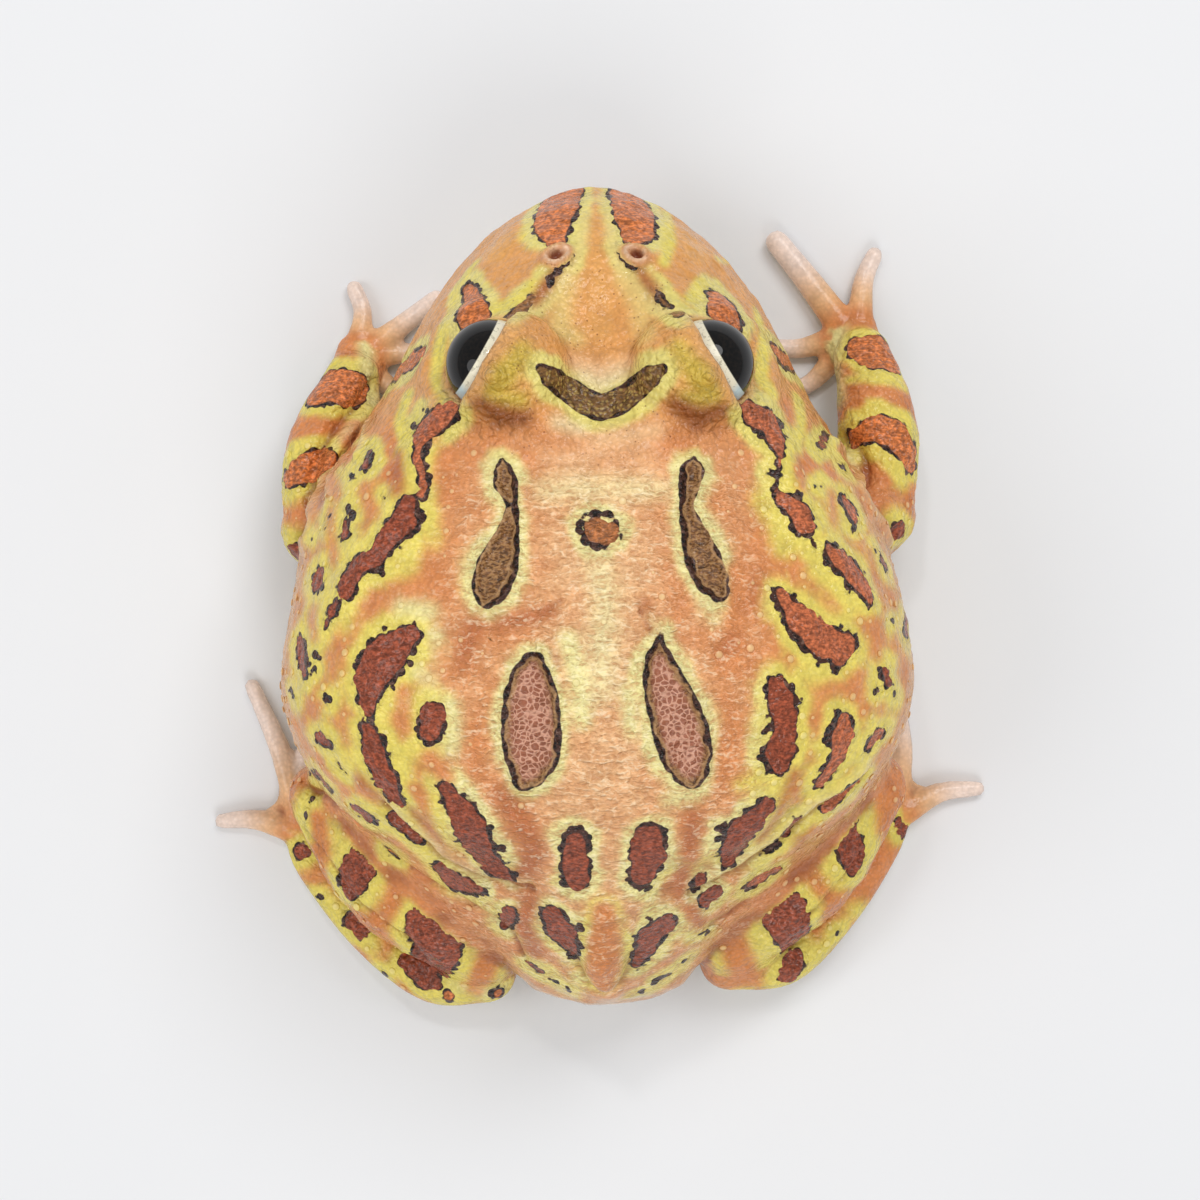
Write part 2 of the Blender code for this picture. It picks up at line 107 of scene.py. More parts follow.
def new_object(name, points, faces, material):
    """A smooth mesh object at the origin, from points in metres."""
    mesh = bpy.data.meshes.new(name)
    mesh.from_pydata(points, [], faces)
    mesh.materials.append(material)
    mesh.shade_smooth()
    made = bpy.data.objects.new(name, mesh)
    bpy.context.scene.collection.objects.link(made)
    return made


# Uncoated card: white, fully matt, with the faint cloudiness of paper pulp.
card, tree = new_material("matt_white_card")
place = add(tree, "ShaderNodeTexCoord").outputs["Object"]
cloud = add(tree, "ShaderNodeTexNoise", None, {"Vector": place, "Scale": 30.0, "Detail": 3.0})
white = add(tree, "ShaderNodeMix", {"data_type": "RGBA"}, (cloud, linear("e7e8ea"), linear("eaebed")))
shader = add(
    tree, "ShaderNodeBsdfPrincipled", None, {"Base Color": white, "Roughness": 0.9, "Specular IOR Level": 0.1},
)
add(tree, "ShaderNodeOutputMaterial", None, {"Surface": shader})
half = FLOOR_SIDE / 2
floor = new_object(
    "floor", [(-half, -half, 0), (half, -half, 0), (half, half, 0), (-half, half, 0)],
    [(0, 1, 2, 3)], card,
)

for name, (spot, side, watts) in SOFT_BOXES.items():
    panel = bpy.data.lights.new(f"soft_box_{name}", "AREA")
    panel.shape = "DISK"
    panel.size = side
    panel.energy = watts
    soft_box = bpy.data.objects.new(f"soft_box_{name}", panel)
    soft_box.location = spot
    soft_box.rotation_euler = (-Vector(spot)).to_track_quat("-Z", "Y").to_euler()
    bpy.context.scene.collection.objects.link(soft_box)

room = bpy.data.worlds.new("white_room")
room.use_nodes = True
room.node_tree.nodes["Background"].inputs["Color"].default_value = linear("ffffff")
room.node_tree.nodes["Background"].inputs["Strength"].default_value = ROOM_LIGHT
bpy.context.scene.world = room


# Skin. One unbroken moist skin covers the trunk, the limbs, the webs and the upper lids with
# their soft horns. It is swept and lofted along the body in millimetres, fused into one
# surface, and then folded, creased and marked.
BODY_LENGTH = 98.7
SNOUT_Y = -49.0
NECK_Y = -18.0
LEFT_WIDTH = (0, 6.8, 13.8, 19.9, 25.6, 33.8, 36.9, 37.9, 31.4, 18.0, 12.4, 8.2, 0)
RIGHT_WIDTH = (0, 6.8, 13.8, 19.9, 25.2, 32.2, 36.3, 37.0, 30.2, 18.0, 12.4, 8.2, 0)
BACK_HEIGHT = (15.8, 22.6, 28.0, 32.6, 37.2, 42.2, 45.4, 46.0, 42.0, 33.8, 24.0, 15.0, 8.5)
WIDEST_HEIGHT = (15.8, 15.8, 15.6, 15.2, 15.0, 16.5, 18.5, 19.0, 18.0, 15.5, 12.0, 9.5, 8.5)
BELLY_HEIGHT = (15.8, 8.0, 4.4, 2.4, 0.8, -0.6, -1.0, -1.0, -1.0, -0.6, 0.8, 3.2, 8.5)
BACK_FULLNESS = (2.4, 2.4, 2.5, 2.6, 2.5, 2.3, 2.2, 2.2, 2.2, 2.2, 2.2, 2.2, 2.2)
BELLY_FULLNESS = 2.8
MIDLINE_LEAN = -0.011
TRUNK_RINGS = 150
TRUNK_SIDES = 180
LIMB_SIDES = 40
RINGS_PER_SPAN = 10
MOUTH_LINE = ((0, 13.0), (3, 13.0), (8, 13.3), (15, 13.9), (22, 14.7), (29, 15.2), (42, 15.4))

# Broad forms of the trunk, on both sides: a path, its reach, its height, its pull upward.
FORMS = (
    (((8.4, -22.6, 0), (11.2, -27.8, 0)), 5.6, 2.6, 0),
    (((0, -33, 0), (0, -24, 0)), 3.6, -1.0, 0),
    (((9.6, -32.5, 0), (5.6, -40.5, 0)), 1.9, 0.9, 0),
    (((15, -36, 26), (21, -29, 26)), 4.0, -0.9, 1),
    (((0, -50.3, 16.8), (9, -48, 16.8), (17, -41, 16.4), (22.6, -32.5, 16), (27.5, -21.5, 15.2)), 1.9, 0.7, 1),
    (((14, -34.2, 0), (19, -31.5, 0), (20.2, -27, 0), (18.5, -21.8, 0)), 1.7, 1.2, 0),
    (((22.5, -20.5, 27.5),), 2.2, 0.5, 1),
    (((16.4, -21.6, 0), (20.6, -17.5, 0), (22.6, -10.5, 0), (27.5, -3.4, 0), (31.4, 1.5, 0)), 1.9, 0.9, 0),
    (((24.5, 24.5, 0), (17.5, 30.5, 0), (8.5, 34, 0)), 2.0, -1.2, 0),
    (((0, 37, 0), (0, 46.5, 0)), 3.4, 1.7, 0),
)

# The limbs along their bones: place, half width and half height.
LIMBS = {
    "left arm": (
        ((26.0, -5.0, 17.5, 6.2, 6.6), (31.0, -7.2, 13.5, 5.2, 5.6), (34.3, -8.6, 10.2, 4.8, 5.0)),
        ((34.2, -8.6, 10.0, 4.7, 4.8), (34.0, -18.0, 8.8, 4.8, 4.6), (30.8, -28.0, 4.4, 3.4, 2.9)),
        ((31.0, -27.4, 3.8, 3.0, 2.3), (29.8, -31.0, 1.7, 3.3, 1.8)),
    ),
    "left fingers": (
        ((29.0, -29.0, 1.6, 1.5, 1.5), (25.7, -26.3, 1.1, 1.2, 1.2), (22.4, -25.6, 0.9, 1.0, 1.0)),
        ((28.0, -30.6, 1.6, 1.5, 1.5), (24.4, -31.0, 1.1, 1.2, 1.2), (20.4, -32.2, 0.9, 1.1, 1.0)),
        ((28.6, -31.6, 1.6, 1.8, 1.5), (25.0, -34.4, 1.3, 1.4, 1.4), (20.6, -37.8, 1.1, 1.2, 1.2)),
        ((30.4, -32.2, 1.6, 1.6, 1.5), (29.8, -36.0, 1.1, 1.2, 1.2), (30.9, -39.2, 0.9, 1.1, 1.0)),
    ),
    "right arm": (
        ((-26.0, -6.8, 17.5, 6.2, 6.6), (-30.8, -9.2, 13.5, 5.2, 5.6), (-33.9, -10.4, 10.2, 4.8, 5.0)),
        ((-33.8, -10.4, 10.0, 4.8, 4.8), (-34.2, -21.4, 8.6, 5.0, 4.8), (-32.7, -30.6, 4.6, 3.6, 3.0)),
        ((-32.8, -29.6, 3.8, 3.0, 2.3), (-31.2, -33.6, 1.7, 3.7, 1.8)),
    ),
    "right fingers": (
        ((-29.8, -30.8, 1.6, 1.5, 1.5), (-26.6, -27.4, 1.1, 1.2, 1.2), (-23.2, -26.0, 0.9, 1.0, 1.0)),
        ((-29.0, -32.8, 1.6, 1.5, 1.5), (-25.2, -31.6, 1.1, 1.3, 1.2), (-21.2, -31.8, 0.9, 1.1, 1.0)),
        ((-30.2, -34.6, 1.7, 2.0, 1.6), (-26.2, -40.0, 1.4, 1.7, 1.5), (-22.2, -45.0, 1.3, 1.5, 1.4)),
        ((-32.6, -35.2, 1.6, 1.7, 1.5), (-33.1, -40.0, 1.2, 1.3, 1.3), (-34.5, -43.4, 0.9, 1.1, 1.0)),
    ),
    "left thigh": (
        ((8.0, 35.5, 15.5, 8.2, 8.6), (16.0, 28.5, 17.0, 8.4, 9.8), (28.5, 20.5, 13.5, 6.0, 7.4)),
    ),
    "left shank": (
        ((33.4, 24.6, 9.6, 4.8, 5.4), (27.0, 33.4, 10.6, 5.9, 7.2), (21.2, 38.0, 10.4, 5.9, 7.0),
         (15.0, 42.4, 8.4, 5.1, 5.6)),
    ),
    "left foot": (
        ((14.3, 46.4, 4.6, 3.8, 4.0), (21.0, 46.9, 3.7, 3.3, 3.6), (28.9, 41.4, 2.9, 2.8, 3.0),
         (35.4, 33.4, 2.1, 2.6, 2.2), (37.0, 29.6, 1.6, 2.6, 1.7)),
    ),
    "left toes": (
        ((34.8, 30.2, 1.5, 1.4, 1.4), (33.4, 27.4, 0.9, 1.0, 1.0)),
        ((35.6, 29.4, 1.5, 1.4, 1.4), (34.8, 24.6, 0.9, 1.0, 1.0)),
        ((36.6, 28.8, 1.6, 1.5, 1.5), (37.2, 23.6, 1.1, 1.2, 1.2), (37.0, 18.6, 0.9, 1.0, 1.0)),
        ((37.6, 28.4, 1.6, 1.6, 1.5), (39.9, 19.6, 1.2, 1.4, 1.3), (43.7, 10.8, 0.9, 1.0, 1.0)),
        ((38.4, 29.0, 1.6, 1.6, 1.5), (43.3, 27.6, 1.1, 1.3, 1.2), (47.6, 27.8, 0.8, 1.0, 0.9)),
    ),
    "right thigh": (
        ((-9.0, 34.6, 15.5, 8.2, 8.6), (-16.6, 27.6, 17.0, 8.4, 9.8), (-28.6, 19.8, 13.5, 6.0, 7.4)),
    ),
    "right shank": (
        ((-32.8, 23.4, 9.6, 4.8, 5.4), (-26.8, 31.8, 10.6, 5.9, 7.2), (-21.6, 36.6, 10.4, 5.9, 7.0),
         (-16.6, 41.0, 8.6, 5.2, 5.7)),
    ),
    "right foot": (
        ((-16.2, 44.8, 4.6, 3.8, 4.0), (-23.2, 44.6, 3.7, 3.3, 3.6), (-30.2, 38.0, 2.9, 2.8, 3.0),
         (-35.2, 30.4, 2.1, 2.6, 2.2), (-36.4, 26.8, 1.6, 2.6, 1.7)),
    ),
    "right toes": (
        ((-34.4, 27.8, 1.5, 1.4, 1.4), (-32.8, 25.0, 0.9, 1.0, 1.0)),
        ((-35.2, 27.0, 1.5, 1.4, 1.4), (-33.6, 22.4, 0.9, 1.0, 1.0)),
        ((-36.2, 26.4, 1.6, 1.5, 1.5), (-35.8, 21.6, 1.1, 1.2, 1.2), (-34.6, 16.8, 0.9, 1.0, 1.0)),
        ((-37.0, 26.0, 1.6, 1.6, 1.5), (-38.0, 18.6, 1.2, 1.3, 1.3), (-37.0, 11.6, 0.9, 1.0, 1.0)),
        ((-38.2, 26.8, 1.6, 1.6, 1.5), (-42.7, 24.2, 1.1, 1.3, 1.2), (-47.5, 23.7, 0.8, 1.0, 0.9)),
    ),
}

# The slack skin of each thigh, which bridges the cleft between the flank and the shank.
SLACK_SKIN = (
    (
        (31.0, 23.5, 12.5, 3.6, 3.6), (24.5, 29.6, 14.6, 4.8, 4.6), (16.5, 35.6, 14.6, 5.0, 5.0),
        (9.5, 40.5, 11.0, 4.2, 4.2),
    ),
    ((-30.4, 22.6, 12.5, 3.6, 3.6), (-24.4, 28.4, 14.6, 4.8, 4.6), (-17.2, 34.2, 14.6, 5.0, 5.0),
     (-10.6, 39.2, 11.0, 4.2, 4.2)),
)
WEB_REACH = 0.5
WEB_BASE = 0.35
WEB_THICKNESS = 0.9

EYE_RADIUS = 5.3
EYE_CENTRE = (12.4, -27.0, 36.2)
LID_CENTRE = (10.7, -26.0, 35.6)
LID_RADII = (7.3, 7.5, 7.2)
LID_TURN = 30
LID_EDGE = 0.8
LOWER_LID_RADIUS = 6.0
LOWER_LID_DROP = 22
HORN_ROOT = (11.3, -25.6, 41.0)
HORN_TIP = (12.3, -25.2, 44.4)

VOXEL = 0.36
BRIDGING = 150
MOST_TRIANGLES = 196000


def smooth_curve(values, at):
    """A smooth curve through evenly spaced values, read at positions counted in steps."""
    values = np.asarray(values, float)
    flat = values.ndim == 1
    values = values.reshape(len(values), -1)
    padded = np.vstack([2 * values[0] - values[1], values, 2 * values[-1] - values[-2]])
    at = np.clip(np.asarray(at, float), 0, len(values) - 1 - 1e-9)
    step = at.astype(int)
    t = (at - step)[:, None]
    before, start, end, after = (padded[step + k] for k in range(4))
    curve = start + 0.5 * t * (
        end - before + t * (2 * before - 5 * start + 4 * end - after + t * (3 * (start - end) + after - before))
    )
    return curve[:, 0] if flat else curve


def tube_faces(rings, sides):
    """Faces of a closed tube: bands between its rings, and a fan to a point at each end."""
    faces = []
    for k in range(sides):
        following = (k + 1) % sides
        for ring in range(rings - 1):
            a, b = ring * sides + k, ring * sides + following
            faces.append((a, b, b + sides, a + sides))
        faces.append((rings * sides, following, k))
        last = (rings - 1) * sides
        faces.append((rings * sides + 1, last + k, last + following))
    return faces


def outward(points, faces):
    """Each point's normal on a closed shell."""
    mesh = bpy.data.meshes.new("shell")
    mesh.from_pydata(points, [], faces)
    shape = bmesh.new()
    shape.from_mesh(mesh)
    bmesh.ops.recalc_face_normals(shape, faces=shape.faces)
    shape.to_mesh(mesh)
    shape.free()
    normals = np.array([vertex.normal for vertex in mesh.vertices])
    bpy.data.meshes.remove(mesh)
    return normals


def from_path(points, path, stretch=(1, 1, 1)):
    """How far each point is from a path of straight steps, with one direction stretched."""
    near = np.full(len(points), np.inf)
    path = np.asarray(path, float)
    for start, end in zip(path, np.vstack([path[1:], path[-1:]])):
        along, offset = (end - start) * stretch, (points - start) * stretch
        share = np.clip(offset @ along / max(along @ along, 1e-9), 0, 1)
        near = np.minimum(near, np.linalg.norm(offset - share[:, None] * along, axis=1))
    return near


def trunk_shell():
    """The frog without its limbs, as points and faces."""
    first = 0.04
    angle = np.linspace(first, math.pi - first, TRUNK_RINGS)
    at = angle / math.pi * (len(LEFT_WIDTH) - 1)
    y = SNOUT_Y + BODY_LENGTH * (1 - np.cos(angle)) / 2
    left, right, back, widest, belly, fullness = (
        smooth_curve(values, at)
        for values in (LEFT_WIDTH, RIGHT_WIDTH, BACK_HEIGHT, WIDEST_HEIGHT, BELLY_HEIGHT, BACK_FULLNESS)
    )
    around = np.arange(TRUNK_SIDES) / TRUNK_SIDES * math.tau
    across, upward = np.sin(around), np.cos(around)
    upper = upward >= 0
    points = []
    for ring in range(TRUNK_RINGS):
        power = 2 / np.where(upper, fullness[ring], BELLY_FULLNESS)
        reach = np.where(upper, back[ring] - widest[ring], widest[ring] - belly[ring])
        width = np.where(across >= 0, left[ring], right[ring])
        x = width * np.sign(across) * np.abs(across) ** power + MIDLINE_LEAN * y[ring]
        z = widest[ring] + reach * np.sign(upward) * np.abs(upward) ** power
        points.append(np.column_stack([x, np.full(TRUNK_SIDES, y[ring]), z]))
    points.append([(-MIDLINE_LEAN * 50, SNOUT_Y, WIDEST_HEIGHT[0])])
    points.append([(MIDLINE_LEAN * 50, SNOUT_Y + BODY_LENGTH, WIDEST_HEIGHT[-1])])
    points, faces = np.vstack(points), tube_faces(TRUNK_RINGS, TRUNK_SIDES)
    normals = outward(points, faces)
    moved = points.copy()
    for path, reach, height, rise in FORMS:
        for side in (1, -1):
            near = from_path(points, np.array(path, float) * (side, 1, 1), (1, 1, rise))
            weight = np.exp(-((near / reach) ** 2))
            if rise == 0:
                weight *= np.clip(normals[:, 2] * 2, 0, 1)
            if all(point[0] == 0 for point in path):
                weight *= 0.5
            moved += normals * (weight * height)[:, None]
    return moved, faces


def limb_shell(spine, sides=LIMB_SIDES):
    """A round-ended limb along its spine, as points and faces."""
    spans = len(spine) - 1
    line = smooth_curve(spine, np.linspace(0, spans, spans * RINGS_PER_SPAN + 1))
    tangent = np.gradient(line[:, :3], axis=0)
    tangent /= np.linalg.norm(tangent, axis=1)[:, None]
    steps = np.radians((15, 30, 45, 60, 75))
    head = [(line[0], tangent[0], -math.sin(a), math.cos(a)) for a in steps[::-1]]
    tail = [(line[-1], tangent[-1], math.sin(a), math.cos(a)) for a in steps]
    body = [(row, ahead, 0, 1) for row, ahead in zip(line, tangent)]
    around = np.arange(sides) / sides * math.tau
    points = []
    for row, ahead, push, scale in head + body + tail:
        across = np.cross(ahead, (0, 0, 1))
        across /= np.linalg.norm(across)
        upward = np.cross(across, ahead)
        centre = row[:3] + ahead * push * row[3:].mean()
        ring = np.outer(np.cos(around) * row[3] * scale, across) + np.outer(np.sin(around) * row[4] * scale, upward)
        points.append(centre + ring)
    points.append([line[0, :3] - tangent[0] * line[0, 3:].mean()])
    points.append([line[-1, :3] + tangent[-1] * line[-1, 3:].mean()])
    return np.vstack(points), tube_faces(len(body) + 2 * len(steps), sides)


def lid_shell(side):
    """The hood over an eye, flattened where the eye looks out."""
    sides, rings = 96, 60
    around = np.arange(sides) / sides * math.tau
    down = np.linspace(0, math.pi, rings + 2)[1:-1]
    ring = [
        np.column_stack([np.sin(a) * np.cos(around), np.sin(a) * np.sin(around), np.full(sides, np.cos(a))])
        for a in down
    ]
    points = np.vstack(ring + [[(0, 0, 1)], [(0, 0, -1)]]) * LID_RADII
    turn = math.radians(-LID_TURN)
    facing = np.array((math.cos(turn), math.sin(turn), 0))
    points = np.column_stack([
        points[:, 0] * facing[0] - points[:, 1] * facing[1],
        points[:, 0] * facing[1] + points[:, 1] * facing[0],
        points[:, 2],
    ]) + LID_CENTRE
    beyond = np.maximum((points - EYE_CENTRE) @ facing - LID_EDGE, 0)
    points -= beyond[:, None] * facing
    return points * (side, 1, 1), tube_faces(rings, sides)


def lower_lid_shell(side):
    """The lower lid, which cups the eyeball from below out to a thin rim."""
    sides, rings = 96, 60
    around = np.arange(sides) / sides * math.tau
    down = np.linspace(0, math.pi, rings + 2)[1:-1]
    ring = [
        np.column_stack([np.sin(a) * np.cos(around), np.sin(a) * np.sin(around), np.full(sides, np.cos(a))])
        for a in down
    ]
    points = np.vstack(ring + [[(0, 0, 1)], [(0, 0, -1)]]) * LOWER_LID_RADIUS
    turn, drop = math.radians(-LID_TURN), math.radians(LOWER_LID_DROP)
    rim = np.array((math.cos(turn) * math.sin(drop), math.sin(turn) * math.sin(drop), math.cos(drop)))
    points -= np.maximum(points @ rim, 0)[:, None] * rim
    return (points + EYE_CENTRE) * (side, 1, 1), tube_faces(rings, sides)


def horn_shell(side):
    """The soft blunt peak on an upper lid."""
    root, tip = np.array(HORN_ROOT), np.array(HORN_TIP)
    middle = root * 0.45 + tip * 0.55
    spine = np.array(((*root, 2.9, 2.9), (*middle, 1.6, 1.6), (*tip, 0.7, 0.7))) * (side, 1, 1, 1, 1)
    return limb_shell(spine)


def web_shell(toes):
    """The web of a hind foot, one thin sheet from toe to toe, hollowed between them."""
    roots = [np.array(toe[0][:2]) for toe in toes]
    far = [smooth_curve(toe, [(len(toe) - 1) * WEB_REACH])[0, :2] for toe in toes]
    outline = [far[0]]
    for k in range(1, 5):
        outline += [(far[k - 1] + far[k]) * 0.35 + (roots[k - 1] + roots[k]) * 0.15, far[k]]
    outline.append(sum(roots) / 5 + (0, 2))
    count = len(outline)
    points = [(*corner, WEB_BASE + high) for high in (0, WEB_THICKNESS) for corner in outline]
    faces = [tuple(range(count)), tuple(range(count, 2 * count))]
    faces += [(k, (k + 1) % count, (k + 1) % count + count, k + count) for k in range(count)]
    return np.array(points), faces


# The thigh is skinned over with the flank, and counts as part of the trunk for its colours.
PARTS = ["trunk", *(name for name in LIMBS if "thigh" not in name)]
shells = [("trunk", *trunk_shell())]
for side in (1, -1):
    shells += [("trunk", *lid_shell(side)), ("trunk", *lower_lid_shell(side)), ("trunk", *horn_shell(side))]
for name, spines in LIMBS.items():
    shells += [(name, *limb_shell(spine)) for spine in spines]
shells += [("trunk", *limb_shell(spine)) for spine in SLACK_SKIN]
for side in ("left", "right"):
    shells.append((f"{side} toes", *web_shell(LIMBS[f"{side} toes"])))

joined_points, joined_faces, face_part = [], [], []
for part, points, faces in shells:
    start = sum(len(p) for p in joined_points)
    joined_points.append(points)
    joined_faces += [tuple(corner + start for corner in face) for face in faces]
    face_part += [0 if "thigh" in part else PARTS.index(part)] * len(faces)
joined_points = np.vstack(joined_points)
parts_tree = BVHTree.FromPolygons([Vector(p) for p in joined_points], joined_faces)
face_part = np.array(face_part)


def evaluated_mesh(made):
    """The object's mesh with its modifiers applied, which are then removed."""
    mesh = bpy.data.meshes.new_from_object(made.evaluated_get(bpy.context.evaluated_depsgraph_get()))
    made.modifiers.clear()
    old, made.data = made.data, mesh
    bpy.data.meshes.remove(old)
    return mesh


def read(mesh, what="vertices", item="co", width=3, kind=float):
    """One value of every vertex, edge or normal, as rows."""
    values = np.empty(len(getattr(mesh, what)) * width, np.int32 if kind is int else np.float32)
    getattr(mesh, what).foreach_get(item, values)
    return values.reshape(-1, width).astype(kind)


def write(mesh, points):
    mesh.vertices.foreach_set("co", np.asarray(points, np.float32).ravel())
    mesh.update()


def blend_in(points, edges, share, times):
    """Points drawn towards the middle of their neighbours."""
    count = np.bincount(edges.ravel(), minlength=len(points))
    for _ in range(times):
        middle = np.empty_like(points)
        for axis in range(points.shape[1]):
            middle[:, axis] = np.bincount(edges[:, 0], points[edges[:, 1], axis], len(points))
            middle[:, axis] += np.bincount(edges[:, 1], points[edges[:, 0], axis], len(points))
        middle /= count[:, None]
        points = points + share * (middle - points)
    return points


skin_material, tree = new_material("moist_granular_skin")
skin = new_object("skin", [Vector(p) for p in joined_points], joined_faces, skin_material)
remesh = skin.modifiers.new("fuse", "REMESH")
remesh.mode = "VOXEL"
remesh.voxel_size = VOXEL
mesh = evaluated_mesh(skin)
edges = read(mesh, "edges", "vertices", 2, int)
island = np.arange(len(mesh.vertices))
while True:
    lowest = island.copy()
    np.minimum.at(lowest, edges[:, 0], island[edges[:, 1]])
    np.minimum.at(lowest, edges[:, 1], island[edges[:, 0]])
    lowest = lowest[lowest]
    if (lowest == island).all():
        break
    island = lowest
shape = bmesh.new()
shape.from_mesh(mesh)
inner = np.flatnonzero(island != np.bincount(island).argmax())
shape.verts.ensure_lookup_table()
bmesh.ops.delete(shape, geom=[shape.verts[k] for k in inner], context="VERTS")
shape.to_mesh(mesh)
shape.free()

edges = read(mesh, "edges", "vertices", 2, int)
points = read(mesh)
for share in (0.5, -0.52) * 4:
    points = blend_in(points, edges, share, 1)
points = blend_in(points, edges, 0.4, 2)

# Loose skin bridges the deep clefts between the limbs and the trunk, so that only a fine
# crease is left there.
loose = np.clip((points[:, 1] - 9) / 6, 0, 1) + np.clip((np.abs(points[:, 0]) - 23) / 4, 0, 1) * (points[:, 1] > -16)
loose = np.clip(loose, 0, 1) * np.clip((points[:, 2] - 3.5) / 3, 0, 1)
write(mesh, points)
normals = read(mesh, "vertex_normals", "vector")
for turn in range(BRIDGING):
    if turn % 30 == 29:
        write(mesh, points)
        normals = read(mesh, "vertex_normals", "vector")
    pull = blend_in(points, edges, 0.9, 1) - points
    points += loose[:, None] * np.maximum((pull * normals).sum(1), 0)[:, None] * normals
points = blend_in(points, edges, 0.5, 3)
write(mesh, points)
skin_tree = BVHTree.FromPolygons([v.co for v in mesh.vertices], [p.vertices for p in mesh.polygons])

# Places below are given as the camera sees them, in a picture 1200 wide and high.
PICTURE_MIDDLE = 600
GROUND_SCALE = SENSOR_WIDTH / LENS_LENGTH * CAMERA_HEIGHT / 1200


def seen(across, down):
    """The point of the skin that shows at this place of the picture."""
    aim = Vector(((PICTURE_MIDDLE - across) * GROUND_SCALE, (down - PICTURE_MIDDLE) * GROUND_SCALE, -CAMERA_HEIGHT))
    hit = skin_tree.ray_cast(Vector((0, 0, CAMERA_HEIGHT)), aim.normalized())[0]
    if hit is None:
        hit = Vector((aim.x, aim.y, 0))
        hit = skin_tree.find_nearest(hit)[0]
    return np.array(hit)


def spots(chain):
    """A chain of (across, down, radius) in the picture, as places and radii in millimetres."""
    rows = []
    for across, down, radius in chain:
        place = seen(across, down)
        rows.append((*place, radius * GROUND_SCALE * (1 - place[2] / CAMERA_HEIGHT)))
    return np.array(rows)


# How much less a difference in height counts than one across, so that a marking wraps down.
DROP = 0.5
FAR = 9.0


def outside(points, rows):
    """How far points are outside a chain of round spots, below 0 inside and FAR at most."""
    scale = np.array((1, 1, DROP))
    result = np.full(len(points), FAR)
    low, high = (rows[:, :3] - rows[:, 3:] - FAR).min(0), (rows[:, :3] + rows[:, 3:] + FAR).max(0)
    inside = np.flatnonzero(((points > low) & (points < high))[:, :2].all(1))
    picked = points[inside]
    for start, end in zip(rows, rows[1:] if len(rows) > 1 else rows):
        along, offset = (end - start)[:3] * scale, (picked - start[:3]) * scale
        share = np.clip(offset @ along / max(along @ along, 1e-9), 0, 1)
        near = np.linalg.norm(offset - share[:, None] * along, axis=1)
        near -= start[3] + share * (end[3] - start[3])
        result[inside] = np.minimum(result[inside], near)
    return result


# Folds and creases of the loose skin: a path in the picture, its reach and its height in mm.
FOLDS = (
    ((
        (387, 387), (373, 407), (347, 433), (333, 453), (323, 477), (317, 500), (313, 520), (307, 543), (298, 567),
    ), 1.0, 0.8),
    (((376, 384), (362, 402), (337, 427), (322, 449), (312, 474), (306, 498), (302, 520), (296, 542)), 1.0, -1.2),
    (((368, 422), (363, 438), (357, 455)), 0.6, 0.4),
    (((360, 424), (354, 440), (348, 456)), 0.5, -0.4),
    (((342, 442), (334, 461), (330, 480), (328, 500)), 0.6, 0.35),
    (((832, 443), (848, 455), (855, 471), (859, 489), (869, 508), (878, 521), (887, 540), (895, 556)), 1.0, 0.8),
    (((840, 438), (857, 450), (865, 468), (869, 486), (878, 503), (888, 518), (896, 536)), 1.0, -1.1),
    (((387, 807), (413, 833), (440, 860), (470, 877), (527, 887)), 0.8, -0.7),
    (((392, 800), (418, 826), (446, 852), (474, 868), (522, 879)), 1.1, 0.5),
    (((866, 776), (822, 808), (790, 835), (747, 866), (692, 892)), 0.8, -0.7),
    (((862, 768), (816, 800), (784, 827), (742, 858), (696, 883)), 1.1, 0.5),
    (((302, 782), (313, 792), (330, 800), (353, 820), (382, 847), (413, 870), (443, 890), (467, 903), (493, 917),
      (510, 933), (522, 957)), 0.5, -0.9),
    (((304, 830), (329, 864), (348, 892), (371, 915), (405, 938), (424, 959)), 0.5, -0.7),
    (((712, 926), (727, 916), (745, 903)), 0.5, -0.6),
    (((862, 855), (834, 892), (807, 919)), 0.5, -0.5),
    (((561, 601), (548, 608), (542, 614)), 0.5, -0.35),
    (((539, 642), (541, 655), (545, 668)), 0.5, 0.4),
    (((641, 612), (650, 622), (654, 638)), 0.5, -0.45),
    (((650, 616), (656, 628), (658, 640)), 0.5, 0.45),
    (((520, 700), (516, 720), (515, 745), (520, 765)), 0.5, 0.3),
    (((549, 665), (553, 700), (554, 735), (548, 765)), 0.5, 0.35),
    (((651, 655), (650, 690), (660, 730), (676, 765)), 0.5, 0.3),
    (((694, 700), (704, 730), (706, 755)), 0.5, 0.3),
    (((585, 926), (600, 927), (614, 926)), 0.5, -0.3),
    (((571, 955), (580, 975), (592, 988), (606, 993), (619, 988), (628, 974), (634, 956)), 0.8, -0.7),
    (((596, 960), (606, 984)), 1.6, 0.8),
)

points = read(mesh)
normals = read(mesh, "vertex_normals", "vector")
push = np.zeros(len(points))
for path, reach, height in FOLDS:
    line = np.array([seen(*place) for place in path])
    push += height * np.exp(-((from_path(points, line) / reach) ** 2))

# The mouth: a fine groove round the snout, with a full lip over it and under it.
front = points[:, 1] < NECK_Y + 3
level = np.interp(NECK_Y - points[:, 1], *np.transpose(MOUTH_LINE))
from_mouth = points[:, 2] - level
skin_parts = np.array([face_part[parts_tree.find_nearest(Vector(p))[2]] for p in points])
on_trunk = skin_parts == 0
mouth = on_trunk * np.clip((NECK_Y + 3 - points[:, 1]) / 3, 0, 1) * (np.abs(normals[:, 2]) < 0.93)
push += mouth * -0.75 * np.exp(-((from_mouth / 0.42) ** 2))
push += mouth * 0.25 * (np.exp(-(((from_mouth - 1.3) / 0.9) ** 2)) + np.exp(-(((from_mouth + 1.2) / 0.8) ** 2)))

